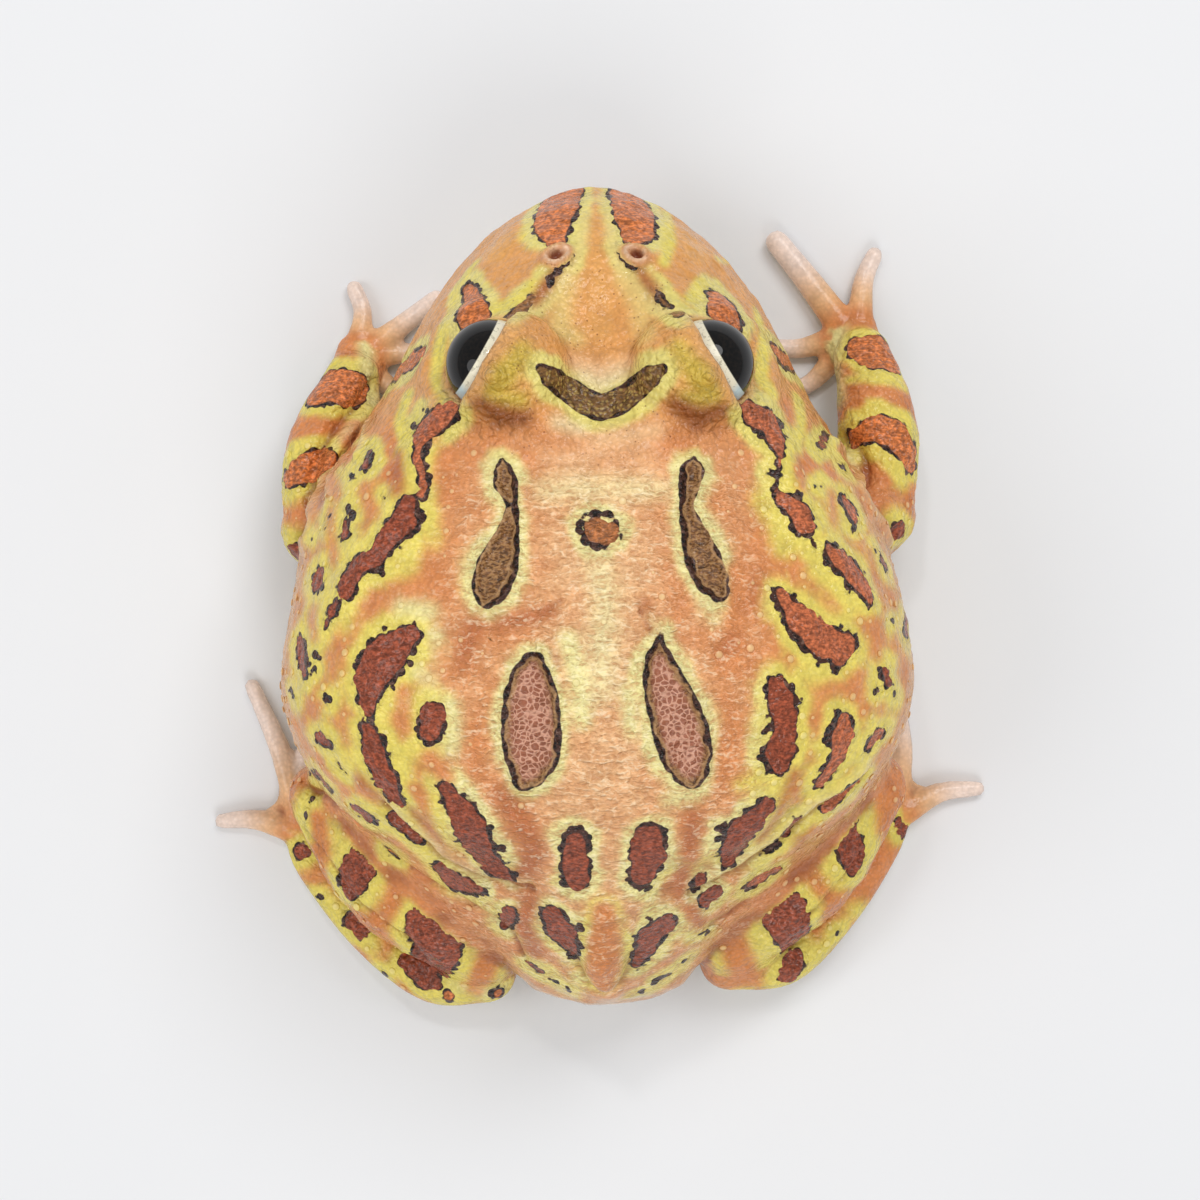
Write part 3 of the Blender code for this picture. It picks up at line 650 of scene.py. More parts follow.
# The nostrils: a soft raised oval ring round a short sunken pit.
NOSTRILS = ((seen(556, 255), (0.85, 0.53, 0)), (seen(637, 255), (-0.85, 0.53, 0)))
NOSTRIL_HALF_LENGTH = 1.55
NOSTRIL_HALF_WIDTH = 0.95


def from_nostril(points, centre, along):
    """How far each point is from a nostril's middle, 1 on the crest of its oval ring."""
    offset = points - centre
    length = offset @ along
    width = offset @ (-along[1], along[0], 0)
    return np.sqrt((length / NOSTRIL_HALF_LENGTH) ** 2 + (width / NOSTRIL_HALF_WIDTH) ** 2 + (offset[:, 2] / 1.6) ** 2)


for centre, along in NOSTRILS:
    ring = from_nostril(points, centre, along)
    push += 0.62 * np.exp(-(((ring - 0.95) / 0.32) ** 2)) - 1.1 * np.exp(-((ring / 0.5) ** 2))
    push += 0.3 * np.exp(-((ring / 1.8) ** 2))
points = points + normals * push[:, None]

# Loose skin is never even: low swells a few millimetres across, with cross wrinkles over the
# back and pebbles over the lids and the flanks. The digits are smooth.
firm = np.array([name.endswith(("fingers", "toes", "foot")) for name in PARTS])[skin_parts]
across_back = np.exp(-((points[:, 0] / 17) ** 2)) * np.clip((points[:, 1] + 21) / 5, 0, 1) * np.clip(normals[:, 2], 0, 1)
pebbly = np.clip((np.abs(points[:, 0]) - 12) / 8, 0, 1) * np.clip((points[:, 1] + 24) / 6, 0, 1)
swell = np.empty(len(points))
for k, (p, crossed, pebbled) in enumerate(zip(points, across_back, pebbly)):
    p = Vector(p)
    height = noise.noise(p * 0.33) * 0.25 + noise.noise(p * 0.8) * 0.10
    height += crossed * 0.16 * noise.noise(Vector((p.x * 0.22 + noise.noise(p * 0.5) * 0.5, p.y * 0.95, p.z * 0.3)))
    swell[k] = height + pebbled * 0.16 * max(noise.noise(p * 0.95) - 0.05, 0)
swell *= np.where(firm, 0.15, 1) * np.clip(points[:, 2] / 6, 0.1, 1)
points += normals * swell[:, None]
write(mesh, points)

# Markings. Each is a kind and a chain of round spots that it fills.
MARKINGS = {
    "trunk": (
        ("clay", (570, 172, 14), (568, 184, 18), (563, 196, 21), (556, 212, 22), (553, 228, 19), (556, 239, 11)),
        ("clay", (616, 172, 12), (618, 184, 15), (625, 196, 18), (635, 214, 22), (638, 230, 19), (634, 238, 12)),
        ("soot", (571, 252, 2.5), (567, 264, 4.5), (554, 274, 5.5), (549, 284, 4)),
        ("soot", (619, 244, 3), (623, 257, 4.5), (636, 268, 5)),
        ("olive", (534, 297, 5), (521, 309, 9), (508, 318, 7)),
        ("olive", (655, 288, 4), (662, 300, 6), (678, 313, 8), (692, 319, 4)),
        ("clay", (469, 290, 9), (471, 301, 14), (472, 313, 18), (474, 328, 17)),
        ("clay", (709, 292, 5), (719, 297, 12), (723, 308, 17), (729, 322, 15)),
        ("stud", (541, 369, 6), (552, 378, 12), (568, 389, 14), (584, 401, 15), (600, 408, 15), (618, 402, 15),
         (636, 388, 14), (650, 377, 12), (662, 369, 6)),
        ("clay", (389, 386, 6), (400, 372, 12), (412, 360, 12), (421, 353, 7)),
        ("clay", (774, 348, 7), (783, 359, 12), (796, 373, 8)),
        ("soot", (740, 268, 2), (753, 290, 3), (760, 302, 2)),
        ("brick", (452, 410, 9), (440, 418, 13), (427, 428, 13), (421, 442, 9), (418, 456, 7), (422, 470, 5),
         (424, 484, 4.5), (422, 495, 5)),
        ("rust", (408, 507, 12), (405, 520, 15), (393, 534, 13), (384, 546, 11), (374, 558, 9), (356, 568, 11),
         (348, 582, 11), (346, 592, 9)),
        ("rust", (338, 600, 3), (333, 612, 6), (327, 625, 3)),
        ("brick", (747, 408, 9), (756, 416, 13), (768, 424, 13), (775, 436, 11), (779, 448, 6), (779, 458, 3),
         (778, 475, 2), (775, 492, 3)),
        ("brick", (783, 500, 8), (794, 505, 11), (801, 514, 13), (803, 525, 12)),
        ("brick", (830, 552, 9), (838, 560, 12), (848, 568, 12), (857, 578, 11), (864, 590, 9), (869, 601, 5)),
        ("brick", (780, 595, 8), (788, 607, 11), (800, 622, 16), (814, 636, 19), (830, 644, 17), (846, 644, 13),
         (836, 660, 8)),
        ("rust", (371, 453, 4), (366, 466, 6)), ("soot", (352, 478, 4.5)), ("soot", (383.5, 496, 3)),
        ("soot", (348, 509, 5), (353, 516, 6)), ("rust", (346, 520, 3), (345, 534, 6)),
        ("soot", (328, 514, 3), (326, 528, 3)), ("rust", (319, 570, 5), (318, 583, 9)), ("soot", (313, 538, 2)),
        ("rust", (300, 642, 6), (302, 658, 8), (306, 676, 4)), ("soot", (290, 690, 3), (294, 698, 4)),
        ("soot", (327, 699, 5.5)), ("soot", (815, 486, 3), (821, 486, 3)), ("rust", (826, 434, 3), (820, 446, 4)),
        ("brick", (843, 468, 4)), ("brick", (843, 498, 6), (850, 510, 8), (855, 524, 4)), ("soot", (874, 549, 4)),
        ("rust", (881, 560, 4), (885, 567, 4)), ("rust", (905, 618, 5), (906, 635, 6)), ("soot", (893, 621, 4)),
        ("rust", (884, 672, 6), (887, 684, 5)),
        ("gilt", (502, 460, 3), (504, 471, 10), (506, 483, 13), (510, 495, 9), (512.5, 505, 6.5), (511, 520, 9),
         (508, 533, 12), (503, 551, 18), (497, 568, 22), (491, 586, 20), (487, 598, 11)),
        ("gilt", (693.5, 459, 3), (692, 472, 13), (689, 486, 11), (687, 500, 8), (686, 509, 8), (690, 522, 11),
         (696, 540, 16), (703, 560, 19), (711, 578, 18), (719, 592, 11)),
        ("ring", (597, 530, 15), (607, 533, 14)),
        ("soot", (584, 516, 3), (595, 512, 4.5), (608, 515, 4.5), (618, 521, 3)),
        ("soot", (580, 525, 4), (583, 538, 4.5), (593, 546, 4.5), (607, 549, 3.5)),
        ("soot", (621, 533, 4), (620, 541, 3)),
        ("rose", (538, 655, 4), (533, 664, 13), (531, 680, 22), (531, 698, 28), (531, 716, 30), (531.5, 735, 31),
         (532, 752, 29), (529, 768, 21), (524, 779, 13), (521, 787, 5)),
        ("rose", (661, 633, 3), (659, 645, 7), (659, 660, 15), (663, 679, 21), (669, 697, 25), (675.5, 715, 27),
         (681.5, 734, 29), (686, 752, 27), (690, 768, 20), (692, 778, 12)),
        ("rust", (413, 634, 9), (401, 642, 15), (388, 654, 21), (377, 668, 22), (370, 683, 17), (368, 698, 12),
         (369, 712, 7)),
        ("rust", (367, 728, 8), (373, 742, 13), (376, 756, 13), (381, 770, 13), (388, 782, 13), (394, 794, 10),
         (402, 804, 4)),
        ("rust", (433, 717, 14), (430, 732, 13)),
        ("rust", (447, 790, 9), (455, 802, 12), (464, 816, 16), (471, 830, 18), (477, 843, 17), (485, 855, 15),
         (496, 867, 12), (512, 878, 6)),
        ("rust", (320, 738, 6), (330, 745, 5)), ("soot", (337, 765, 3), (345, 773, 3.5)),
        ("rust", (306, 763, 4), (318, 775, 5), (329, 788, 5)),
        ("rust", (357, 809, 6), (372, 820, 6)), ("rust", (393, 818, 6), (406, 828, 9), (420, 842, 5)),
        ("clay", (392, 852, 8)),
        ("rust", (776, 686, 10), (781, 698, 15), (784, 714, 14), (785, 730, 12), (782, 745, 15), (777, 758, 16),
         (776, 768, 9)),
        ("brick", (842, 722, 11), (842, 735, 14), (840, 748, 11), (836, 760, 8), (828, 771, 7), (820, 783, 6)),
        ("brick", (883, 731, 4), (875, 738, 6), (868, 748, 4)),
        ("brick", (861, 778, 5), (850, 788, 8), (838, 798, 7), (826, 809, 5)),
        ("rust", (798, 818, 5), (786, 833, 6), (772, 848, 4), (760, 858, 2)),
        ("rust", (768, 804, 8), (757, 814, 12), (747, 826, 15), (737, 838, 17), (731, 851, 13), (727, 863, 7)),
        ("rust", (700, 878, 7), (694, 886, 6)), ("rust", (716, 892, 7), (706, 900, 9)),
        ("soot", (696, 934, 3), (708, 931, 4)),
        ("rust", (575, 840, 14), (575, 878, 15)), ("rust", (650, 838, 17), (648, 858, 18), (642, 877, 13)),
        ("rust", (553, 918, 15), (562, 932, 17), (571, 945, 11), (574, 958, 5)), ("soot", (583, 980, 2)),
        ("rust", (529, 964, 3), (541, 972, 4)), ("soot", (551, 979, 3), (559, 984, 2)), ("rust", (569, 989, 3)),
        ("rust", (655, 982, 3), (667, 975, 4)), ("soot", (681, 966, 3), (687, 960, 2)), ("rust", (641, 991, 3)),
        ("rust", (666, 924, 12), (652, 934, 16), (645, 950, 13), (636, 966, 6)),
        ("rust", (510, 914, 9), (506, 925, 8)),
        ("rust", (440, 868, 8), (452, 880, 13), (468, 888, 11), (482, 890, 5)),
        ("brick", (776, 870, 5), (764, 876, 8), (750, 885, 8)),
    ),
    "left shank": (
        ("rust", (355, 836, 6), (366, 850, 14), (360, 866, 17), (352, 880, 17), (350, 893, 9)),
        ("rust", (452, 898, 12), (450, 914, 21), (436, 930, 31), (438, 950, 24), (428, 966, 22), (416, 976, 12)),
        ("soot", (313, 795, 2), (306, 812, 2.5), (305, 830, 2)),
    ),
    "right shank": (
        ("rust", (849, 822, 8), (844, 836, 15), (852, 852, 15), (854, 868, 8)),
        ("rust", (775, 893, 14), (772, 905, 21), (785, 914, 23), (790, 930, 20), (794, 946, 15), (793, 964, 14)),
        ("rust", (748, 888, 7), (764, 880, 8)),
    ),
    "left foot": (
        ("rust", (301, 852, 8)), ("rust", (350, 904, 8), (354, 920, 11), (360, 930, 8)),
        ("rust", (412, 962, 12), (424, 974, 14), (434, 984, 8)), ("soot", (320, 897, 4)),
        ("soot", (384, 973, 5)), ("clay", (448, 996, 6)), ("clay", (497, 993, 7)),
    ),
    "right foot": (
        ("brick", (858, 880, 11), (852, 892, 13), (840, 893, 6)), ("rust", (902, 822, 6), (903, 832, 5)),
        ("soot", (876, 855, 4)), ("rust", (794, 962, 12), (788, 976, 9)), ("soot", (838, 932, 3)),
        ("clay", (735, 990, 5)),
    ),
    "left arm": (
        ("clay", (316, 397, 12), (333, 386, 19), (351, 388, 20)),
        ("clay", (290, 478, 10), (305, 468, 15), (323, 461, 15)),
        ("rust", (296, 552, 9)),
    ),
    "right arm": (
        ("clay", (860, 348, 13), (876, 352, 20), (891, 361, 14)),
        ("clay", (856, 437, 10), (876, 429, 14), (894, 434, 16), (906, 451, 13), (911, 467, 7)),
        ("rust", (899, 531, 9)),
    ),
}
# Single black lobes that bulge from the rims of the markings.
LOBES = (
    (413, 428, 6), (412, 447, 5), (418, 462, 4), (427, 478, 5), (425, 494, 5), (402, 504, 5), (422, 514, 6),
    (418, 523, 6), (410, 533, 7), (398, 546, 5), (380, 570, 7), (370, 572, 4), (355, 590, 5), (377, 543, 4),
    (456, 417, 5), (425, 411, 5), (416, 632, 8), (415, 652, 6), (408, 663, 5), (400, 672, 5), (391, 684, 5),
    (378, 702, 5), (355, 663, 4), (372, 640, 4), (386, 629, 4), (362, 732, 5), (384, 741, 5), (389, 754, 5),
    (396, 775, 5), (400, 788, 5), (404, 800, 4), (426, 742, 6), (442, 731, 5), (421, 722, 5), (430, 708, 6),
    (451, 784, 4.5), (464, 795, 6), (476, 811, 5), (481, 819, 4), (488, 829, 6), (500, 849, 6), (509, 862, 5),
    (517, 873, 4), (437, 787, 5.5), (443, 802, 4), (453, 826, 4.5), (458, 840, 4), (316, 656, 6), (314, 668, 4),
    (772, 473, 5.5), (772, 416, 4), (781, 424, 6), (783, 435, 4), (780, 447, 4), (742, 416, 4), (760, 434, 3),
    (775, 496, 4), (783, 508, 4), (791, 526, 4.5), (800, 534, 4), (808, 534, 5), (812, 517, 6), (799, 495, 4),
    (816, 547, 5.5), (824, 565, 4), (835, 569, 4), (849, 588, 6), (871, 602, 4), (834, 545, 4),
    (777, 592, 5), (795, 598, 4), (790, 626, 4), (797, 640, 5), (807, 651, 5), (818, 661, 5), (834, 668, 6),
    (845, 660, 4), (856, 645, 5), (842, 628, 4), (822, 624, 4), (877, 690, 5), (894, 694, 4), (840, 502, 5),
    (853, 528, 4), (768, 688, 6), (775, 678, 5), (766, 700, 4), (769, 716, 5), (767, 730, 5), (762, 748, 5),
    (760, 760, 5), (768, 770, 5), (778, 774, 5), (790, 686, 4), (798, 702, 4), (790, 762, 4), (837, 714, 5),
    (828, 733, 6), (827, 742, 5), (820, 772, 5), (852, 722, 4), (826, 809, 4), (758, 802, 6), (773, 801, 6),
    (745, 810, 6), (722, 828, 7), (718, 840, 5), (717, 852, 4), (651, 920, 6), (672, 919, 6), (636, 937, 5),
    (637, 948, 4), (580, 928, 6), (545, 912, 6), (511, 911, 6), (566, 835, 6), (586, 838, 6), (566, 880, 6),
    (585, 884, 6), (650, 826, 7),
    (664, 838, 5), (638, 880, 6), (648, 888, 5), (436, 864, 5), (482, 889, 5),
)
# Spots low on the flanks and bars on the jaws, out of the picture: kind, y, z and radius in mm.
SIDE_SPOTS = (
    ("rust", -8.5, 13.5, 1.5), ("rust", -1.0, 11.0, 1.9), ("soot", 3.5, 15.0, 1.0), ("rust", 8.0, 10.5, 1.5),
    ("soot", 12.5, 13.0, 1.1), ("clay", -33.0, 9.5, 1.7), ("clay", -27.0, 10.0, 1.5), ("clay", -39.5, 9.0, 1.6),
)
KINDS = ("clay", "rust", "soot", "olive", "gilt", "rose", "ring", "brick", "stud")
# The flat markings spread this many millimetres past their spots, out to their bead lobes.
SPREAD = 0.24


def marking_fields(points, parts):
    """Each point's distance to the nearest marking's edge, and which kind that one is."""
    edge = np.full(len(points), FAR)
    kind = np.zeros(len(points), int)
    for part, chains in MARKINGS.items():
        own = np.flatnonzero(parts == PARTS.index(part))
        if part == "trunk":
            chains = chains + tuple(("soot", lobe) for lobe in LOBES)
        for name, *chain in chains:
            near = outside(points[own], spots(chain)) - (SPREAD if name in ("rust", "brick", "clay") else 0)
            closer = near < edge[own]
            edge[own] = np.where(closer, near, edge[own])
            kind[own] = np.where(closer, KINDS.index(name), kind[own])
    own = np.flatnonzero(parts == 0)
    for name, along, high, radius in SIDE_SPOTS:
        for side in (1, -1):
            spot = skin_tree.find_nearest(Vector((side * 45, along + 1.5 * side, high)))[0]
            near = outside(points[own], np.array([(*spot, radius)]))
            closer = near < edge[own]
            edge[own] = np.where(closer, near, edge[own])
            kind[own] = np.where(closer, KINDS.index(name), kind[own])
    return edge, kind


# The sunken markings of the back: their floor lies under a firm rim.
SINK = 0.5
points = read(mesh)
normals = read(mesh, "vertex_normals", "vector")
edge, kind = marking_fields(points, skin_parts)
sunken = np.isin(kind, [KINDS.index("gilt"), KINDS.index("rose")]) & (points[:, 1] > -22)
depth = np.clip((-edge - 0.35) / 0.8, 0, 1)
depth = depth * depth * (3 - 2 * depth)
rim = np.exp(-(((edge + 0.2) / 0.5) ** 2))
points += normals * (np.where(sunken, rim * 0.22 - depth * SINK, 0))[:, None]
points[:, 2] = np.maximum(points[:, 2], 0.0)
write(mesh, points)

# Fewer faces where the skin is smooth and under the belly, the most on the head.
keep = skin.vertex_groups.new(name="detail")
weight = np.clip(0.35 + 0.4 * (points[:, 1] < -14) + 0.3 * (edge < 1.2) + 0.3 * across_back, 0, 1).round(1)
weight = np.where((normals[:, 2] < -0.3) & (points[:, 2] < 6), 0.0, weight)
for level in np.unique(weight):
    keep.add(np.flatnonzero(weight == level).tolist(), float(level), "REPLACE")
triangles = sum(len(p.vertices) - 2 for p in mesh.polygons)
thin = skin.modifiers.new("thin", "DECIMATE")
thin.ratio = min(1.0, MOST_TRIANGLES / triangles)
thin.vertex_group = "detail"
thin.invert_vertex_group = True
thin.vertex_group_factor = 1.0
mesh = evaluated_mesh(skin)
skin.vertex_groups.clear()

# Where things are on the finished surface, for its colours.
points = read(mesh)
normals = read(mesh, "vertex_normals", "vector")
edges = read(mesh, "edges", "vertices", 2, int)
skin_parts = np.array([face_part[parts_tree.find_nearest(Vector(p))[2]] for p in points])
edge, kind = marking_fields(points, skin_parts)


def ease(values, low, high):
    """0 below low and 1 above high, with a smooth step between."""
    share = np.clip((values - low) / (high - low), 0, 1)
    return share * share * (3 - 2 * share)


def rgb(code):
    return np.array(linear(code)[:3])


def wash(colour, shade, share):
    """A colour laid over another, by each point's share."""
    return colour + (rgb(shade) - colour) * np.asarray(share)[:, None]


ORANGE = "dd8d54"
SOFT_ORANGE = "e8a95f"
DEEP_ORANGE = "c9753f"
PEACH = "f0be8a"
YELLOW = "ebd866"
PALE_YELLOW = "ede19a"
CREAM = "f1e3c4"
OLIVE = "d6b64c"
WHITE = "e9e2d6"

# Washes of colour over the ground: a colour, how soft, the parts it lies on, and its chains.
WASHES = (
    (YELLOW, 1.0, "trunk", (
        ((529, 206, 6), (521, 236, 6)), ((497, 308, 7), (515, 301, 8), (533, 285, 6)),
        ((666, 214, 6), (670, 240, 7), (664, 262, 6)), ((702, 284, 8), (690, 300, 7)),
        ((476, 262, 5), (455, 288, 6), (446, 318, 6), (440, 345, 8), (436, 375, 7), (440, 400, 5)),
        ((718, 260, 5), (732, 270, 5)), ((757, 312, 6), (764, 345, 7), (760, 378, 9), (774, 395, 6)),
        ((408, 395, 8), (400, 420, 7), (407, 445, 8), (409, 475, 7)),
        ((798, 398, 8), (800, 425, 7), (795, 455, 9)),
    )),
    ("e8d184", 2.0, "trunk", (
        ((586, 188, 3), (586, 215, 4), (583, 245, 4), (572, 264, 6), (552, 291, 8), (530, 312, 8), (512, 324, 5)),
        ((607, 188, 3), (608, 215, 4), (613, 245, 5), (622, 272, 6), (645, 297, 8), (668, 314, 8), (690, 321, 5)),
    )),
    ("ebc87a", 2.6, "trunk", (
        ((572, 280, 6), (562, 305, 9), (560, 330, 13), (576, 338, 8)), ((622, 280, 6), (640, 305, 9), (644, 335, 12)),
    )),
    (OLIVE, 2.2, "trunk", (
        ((523, 350, 10), (505, 374, 15), (490, 398, 12), (520, 400, 9)),
        ((679, 348, 10), (698, 374, 15), (712, 398, 12), (684, 398, 9)),
    )),
    (SOFT_ORANGE, 2.0, "trunk", (
        ((512, 332, 7), (490, 345, 7), (478, 372, 6), (472, 400, 7)),
        ((690, 330, 7), (712, 345, 7), (726, 372, 6), (732, 398, 7)),
        ((496, 250, 16), (508, 240, 12)), ((697, 250, 17), (686, 236, 10)),
        ((545, 285, 4), (537, 298, 4)), ((646, 275, 4), (655, 287, 4)),
        ((433, 400, 6), (432, 440, 8), (436, 475, 8)),
        ((598, 190, 2), (597, 230, 3), (598, 262, 6), (600, 300, 11), (600, 330, 12)),
    )),
    # Painted shade: a brown wash behind each upper lid.
    ("9a5a2f", 2.2, "trunk", (
        ((480, 404, 9), (500, 415, 12), (524, 420, 9)), ((720, 411, 9), (698, 419, 13), (676, 404, 9)),
    )),
    ("b06c3c", 1.6, "trunk", (
        ((556, 270, 5), (546, 286, 7), (534, 302, 5)), ((636, 266, 4), (645, 280, 6), (656, 294, 5)),
    )),
    ("b98250", 1.4, "trunk", (((477, 380, 5),),)),
    (PEACH, 2.6, "trunk", (
        ((572, 362, 8), (600, 372, 11), (630, 362, 8)), ((600, 440, 9), (655, 430, 8)),
    )),
    ("f0dcaa", 3.0, "trunk", (((558, 422, 5), (580, 430, 4)), ((584, 376, 5), (600, 384, 6), (620, 374, 5)))),
    (PALE_YELLOW, 1.8, "trunk", (
        ((400, 606, 8), (430, 612, 9)), ((436, 635, 8), (442, 660, 8)), ((418, 672, 6), (432, 680, 6)),
        ((452, 705, 6), (458, 735, 7), (452, 752, 6)), ((568, 640, 10), (580, 680, 12), (582, 720, 10)),
        ((628, 690, 8), (632, 730, 8)), ((716, 620, 5), (705, 606, 6)), ((690, 800, 8), (668, 800, 7)),
    )),
    (YELLOW, 1.6, "trunk", (
        ((412, 545, 12), (408, 566, 10), (385, 584, 7)), ((428, 505, 7), (434, 540, 8)), ((426, 470, 5), (432, 450, 6)),
        ((404, 750, 10), (404, 772, 8)), ((345, 735, 8), (350, 765, 7)), ((434, 790, 6), (438, 820, 6), (452, 850, 5)),
        ((385, 812, 5), (410, 806, 6)), ((785, 545, 14), (775, 520, 10), (760, 500, 9)),
        ((808, 578, 9), (838, 588, 8), (852, 612, 9)), ((800, 672, 9), (815, 680, 7)), ((756, 780, 9), (740, 785, 6)),
        ((822, 755, 6), (812, 740, 5)), ((862, 762, 10), (872, 720, 8)), ((826, 520, 5), (832, 545, 5)),
        ((350, 610, 6), (345, 630, 6)), ((320, 625, 6), (322, 640, 5)), ((330, 650, 4), (340, 690, 6)),
        ((310, 600, 5), (302, 625, 5)), ((355, 545, 8), (340, 560, 6)), ((376, 520, 4), (385, 510, 5)),
        ((356, 440, 5), (375, 445, 6)), ((340, 470, 5), (352, 495, 5)), ((866, 690, 5), (895, 660, 6)),
    )),
    (ORANGE, 1.6, "trunk", (
        ((366, 606, 7), (392, 590, 9), (425, 585, 8), (450, 590, 10)), ((330, 510, 5), (334, 560, 6)),
        ((364, 486, 5), (374, 515, 7)), ((312, 620, 5), (314, 636, 5)), ((338, 640, 7), (342, 668, 6)),
        ((404, 692, 8), (404, 730, 8)), ((430, 760, 11), (446, 776, 9)), ((414, 788, 6),),
        ((474, 730, 12), (478, 775, 10)), ((342, 716, 5), (346, 742, 5)), ((735, 570, 9), (738, 610, 12), (728, 660, 14)),
        ((765, 570, 6), (800, 574, 5), (832, 606, 6)), ((800, 460, 6), (802, 486, 6)), ((832, 494, 6), (834, 520, 6)),
        ((874, 622, 7), (877, 655, 7)), ((868, 550, 5), (882, 595, 5)), ((830, 686, 6), (862, 690, 6)),
        ((727, 700, 9), (728, 760, 9), (720, 790, 9)), ((790, 420, 6), (786, 400, 6)), ((818, 706, 4), (816, 735, 4)),
        ((866, 796, 7), (870, 825, 7)), ((318, 704, 6), (308, 712, 5)), ((448, 458, 12), (446, 500, 10)),
        ((330, 655, 8), (334, 675, 7)), ((440, 650, 6), (446, 668, 6)), ((604, 915, 12), (606, 945, 15), (605, 978, 8)),
    )),
    (YELLOW, 0.8, "trunk", (((586, 950, 2), (594, 975, 3), (605, 992, 3), (616, 975, 3), (626, 948, 2)),)),
    ("bf6f40", 2.0, "trunk", (
        ((398, 456, 6), (397, 488, 9)), ((475, 625, 12), (462, 660, 10)), ((500, 625, 9), (550, 612, 7)),
        ((646, 604, 5), (655, 628, 4)), ((500, 795, 10), (522, 820, 14), (536, 850, 12), (520, 880, 12)),
        ((415, 812, 5), (438, 840, 7), (462, 866, 6)), ((360, 780, 6), (385, 802, 5)),
        ((530, 898, 11), (522, 928, 12), (535, 950, 10)),
        ((693, 815, 11), (690, 850, 9), (680, 892, 9)), ((795, 775, 7), (778, 815, 5), (760, 840, 4)),
        ((694, 908, 7), (700, 925, 7)), ((800, 840, 7), (812, 868, 6)),
        ((722, 650, 8), (735, 640, 8)), ((755, 605, 7), (758, 575, 6)),
    )),
    ("f3e0a4", 4.0, "trunk", (
        ((545, 490, 8), (600, 488, 9), (660, 490, 8)),
        ((600, 570, 12), (606, 600, 12), (602, 640, 14), (601, 690, 12)),
    )),
    (YELLOW, 1.0, "left shank", (
        ((334, 818, 7), (340, 858, 8)), ((389, 858, 8), (368, 902, 9)), ((431, 880, 8), (398, 934, 9)),
        ((484, 908, 10), (458, 976, 10)), ((519, 946, 9), (496, 988, 8)),
    )),
    ("da8849", 1.0, "left shank", (
        ((318, 818, 9), (320, 850, 9)), ((411, 868, 9), (384, 918, 10)), ((503, 932, 11), (475, 990, 12)),
    )),
    (YELLOW, 1.0, "right shank", (
        ((866, 800, 9), (876, 850, 8)), ((826, 815, 8), (815, 850, 9), (838, 885, 8)),
        ((790, 868, 6), (818, 908, 7)), ((722, 905, 8), (752, 930, 9), (770, 975, 8)), ((712, 940, 8), (722, 975, 6)),
        ((812, 950, 9), (826, 925, 8)),
    )),
    ("da8849", 1.0, "right shank", (
        ((800, 858, 8), (822, 890, 9)), ((728, 930, 13), (742, 968, 14)), ((880, 830, 6), (884, 800, 6)),
    )),
    (YELLOW, 1.2, "left foot", (
        ((330, 905, 12), (345, 935, 8)), ((378, 928, 10), (372, 950, 8)), ((396, 985, 7), (470, 1000, 8)),
    )),
    (YELLOW, 1.2, "right foot", (((862, 912, 10), (838, 905, 8)), ((825, 950, 10), (812, 968, 8)))),
    (YELLOW, 1.0, "left arm", (
        ((303, 412, 4), (332, 406, 5), (358, 414, 5)), ((292, 446, 5), (318, 440, 5)),
        ((285, 498, 7), (318, 486, 7)), ((284, 532, 8), (300, 538, 6)),
    )),
    (YELLOW, 1.0, "right arm", (
        ((848, 380, 4), (880, 380, 5), (906, 388, 5)), ((850, 414, 5), (884, 414, 5), (910, 424, 5)),
        ((860, 455, 6), (884, 452, 8), (902, 482, 8)),
    )),
    (PALE_YELLOW, 2.0, "left arm", (((366, 345, 8), (368, 375, 7), (372, 400, 6)),)),
    (PALE_YELLOW, 2.0, "right arm", (((836, 320, 10), (834, 360, 10), (838, 400, 8)),)),
)

# The ground is yellow round each marking and orange in the open, paler along the back.
wander = np.array([noise.noise(Vector(p) * 0.25 + Vector((7, 3, 1))) for p in points])
fine = np.array([noise.noise(Vector(p) * 0.9 + Vector((1, 5, 8))) for p in points])
patch = np.array([noise.noise(Vector(p) * 0.35 + Vector((2, 9, 4))) for p in points])
on_back = ease(points[:, 1], -22, -14) * (1 - ease(np.abs(points[:, 0]), 14, 21)) * ease(normals[:, 2], 0.3, 0.8)
centre = 1 - ease(np.abs(points[:, 0] - 0.2), 3.5, 9)
open_skin = ease(edge + wander * 0.9 + fine * 0.4 + on_back * 0.35, 0.9, 2.0)
ground = np.tile(rgb(YELLOW), (len(points), 1))
ground = wash(ground, PALE_YELLOW, on_back * 0.95)
ground = wash(ground, ORANGE, open_skin)
ground = wash(ground, DEEP_ORANGE, open_skin * ease(patch, 0, 0.5) * 0.6 * (1 - on_back))
ground = wash(ground, PEACH, open_skin * on_back * (0.1 + 0.25 * ease(-patch, -0.4, 0.3) + 0.5 * centre))
on_head = ease(-points[:, 1], 17, 24) * (skin_parts == 0)
ground = wash(ground, SOFT_ORANGE, on_head * open_skin * 0.75)
ground = wash(ground, "eadc8a", on_head * (1 - open_skin) * 0.6)
for shade, soft, part, chains in WASHES:
    own = np.flatnonzero(skin_parts == PARTS.index(part))
    near = np.full(len(own), FAR)
    for chain in chains:
        near = np.minimum(near, outside(points[own], spots(chain)))
    ground[own] = wash(ground[own], shade, 1 - ease(near, -soft / 2, soft / 2))

# A pale highlight is painted along the crests of the folds.
for path, reach, height in FOLDS:
    if height > 0.3 and reach < 1.5:
        line = np.array([seen(*place) for place in path])
        ground = wash(ground, "f6e4a6", 0.65 * np.exp(-((from_path(points, line) / (reach * 0.8)) ** 2)))
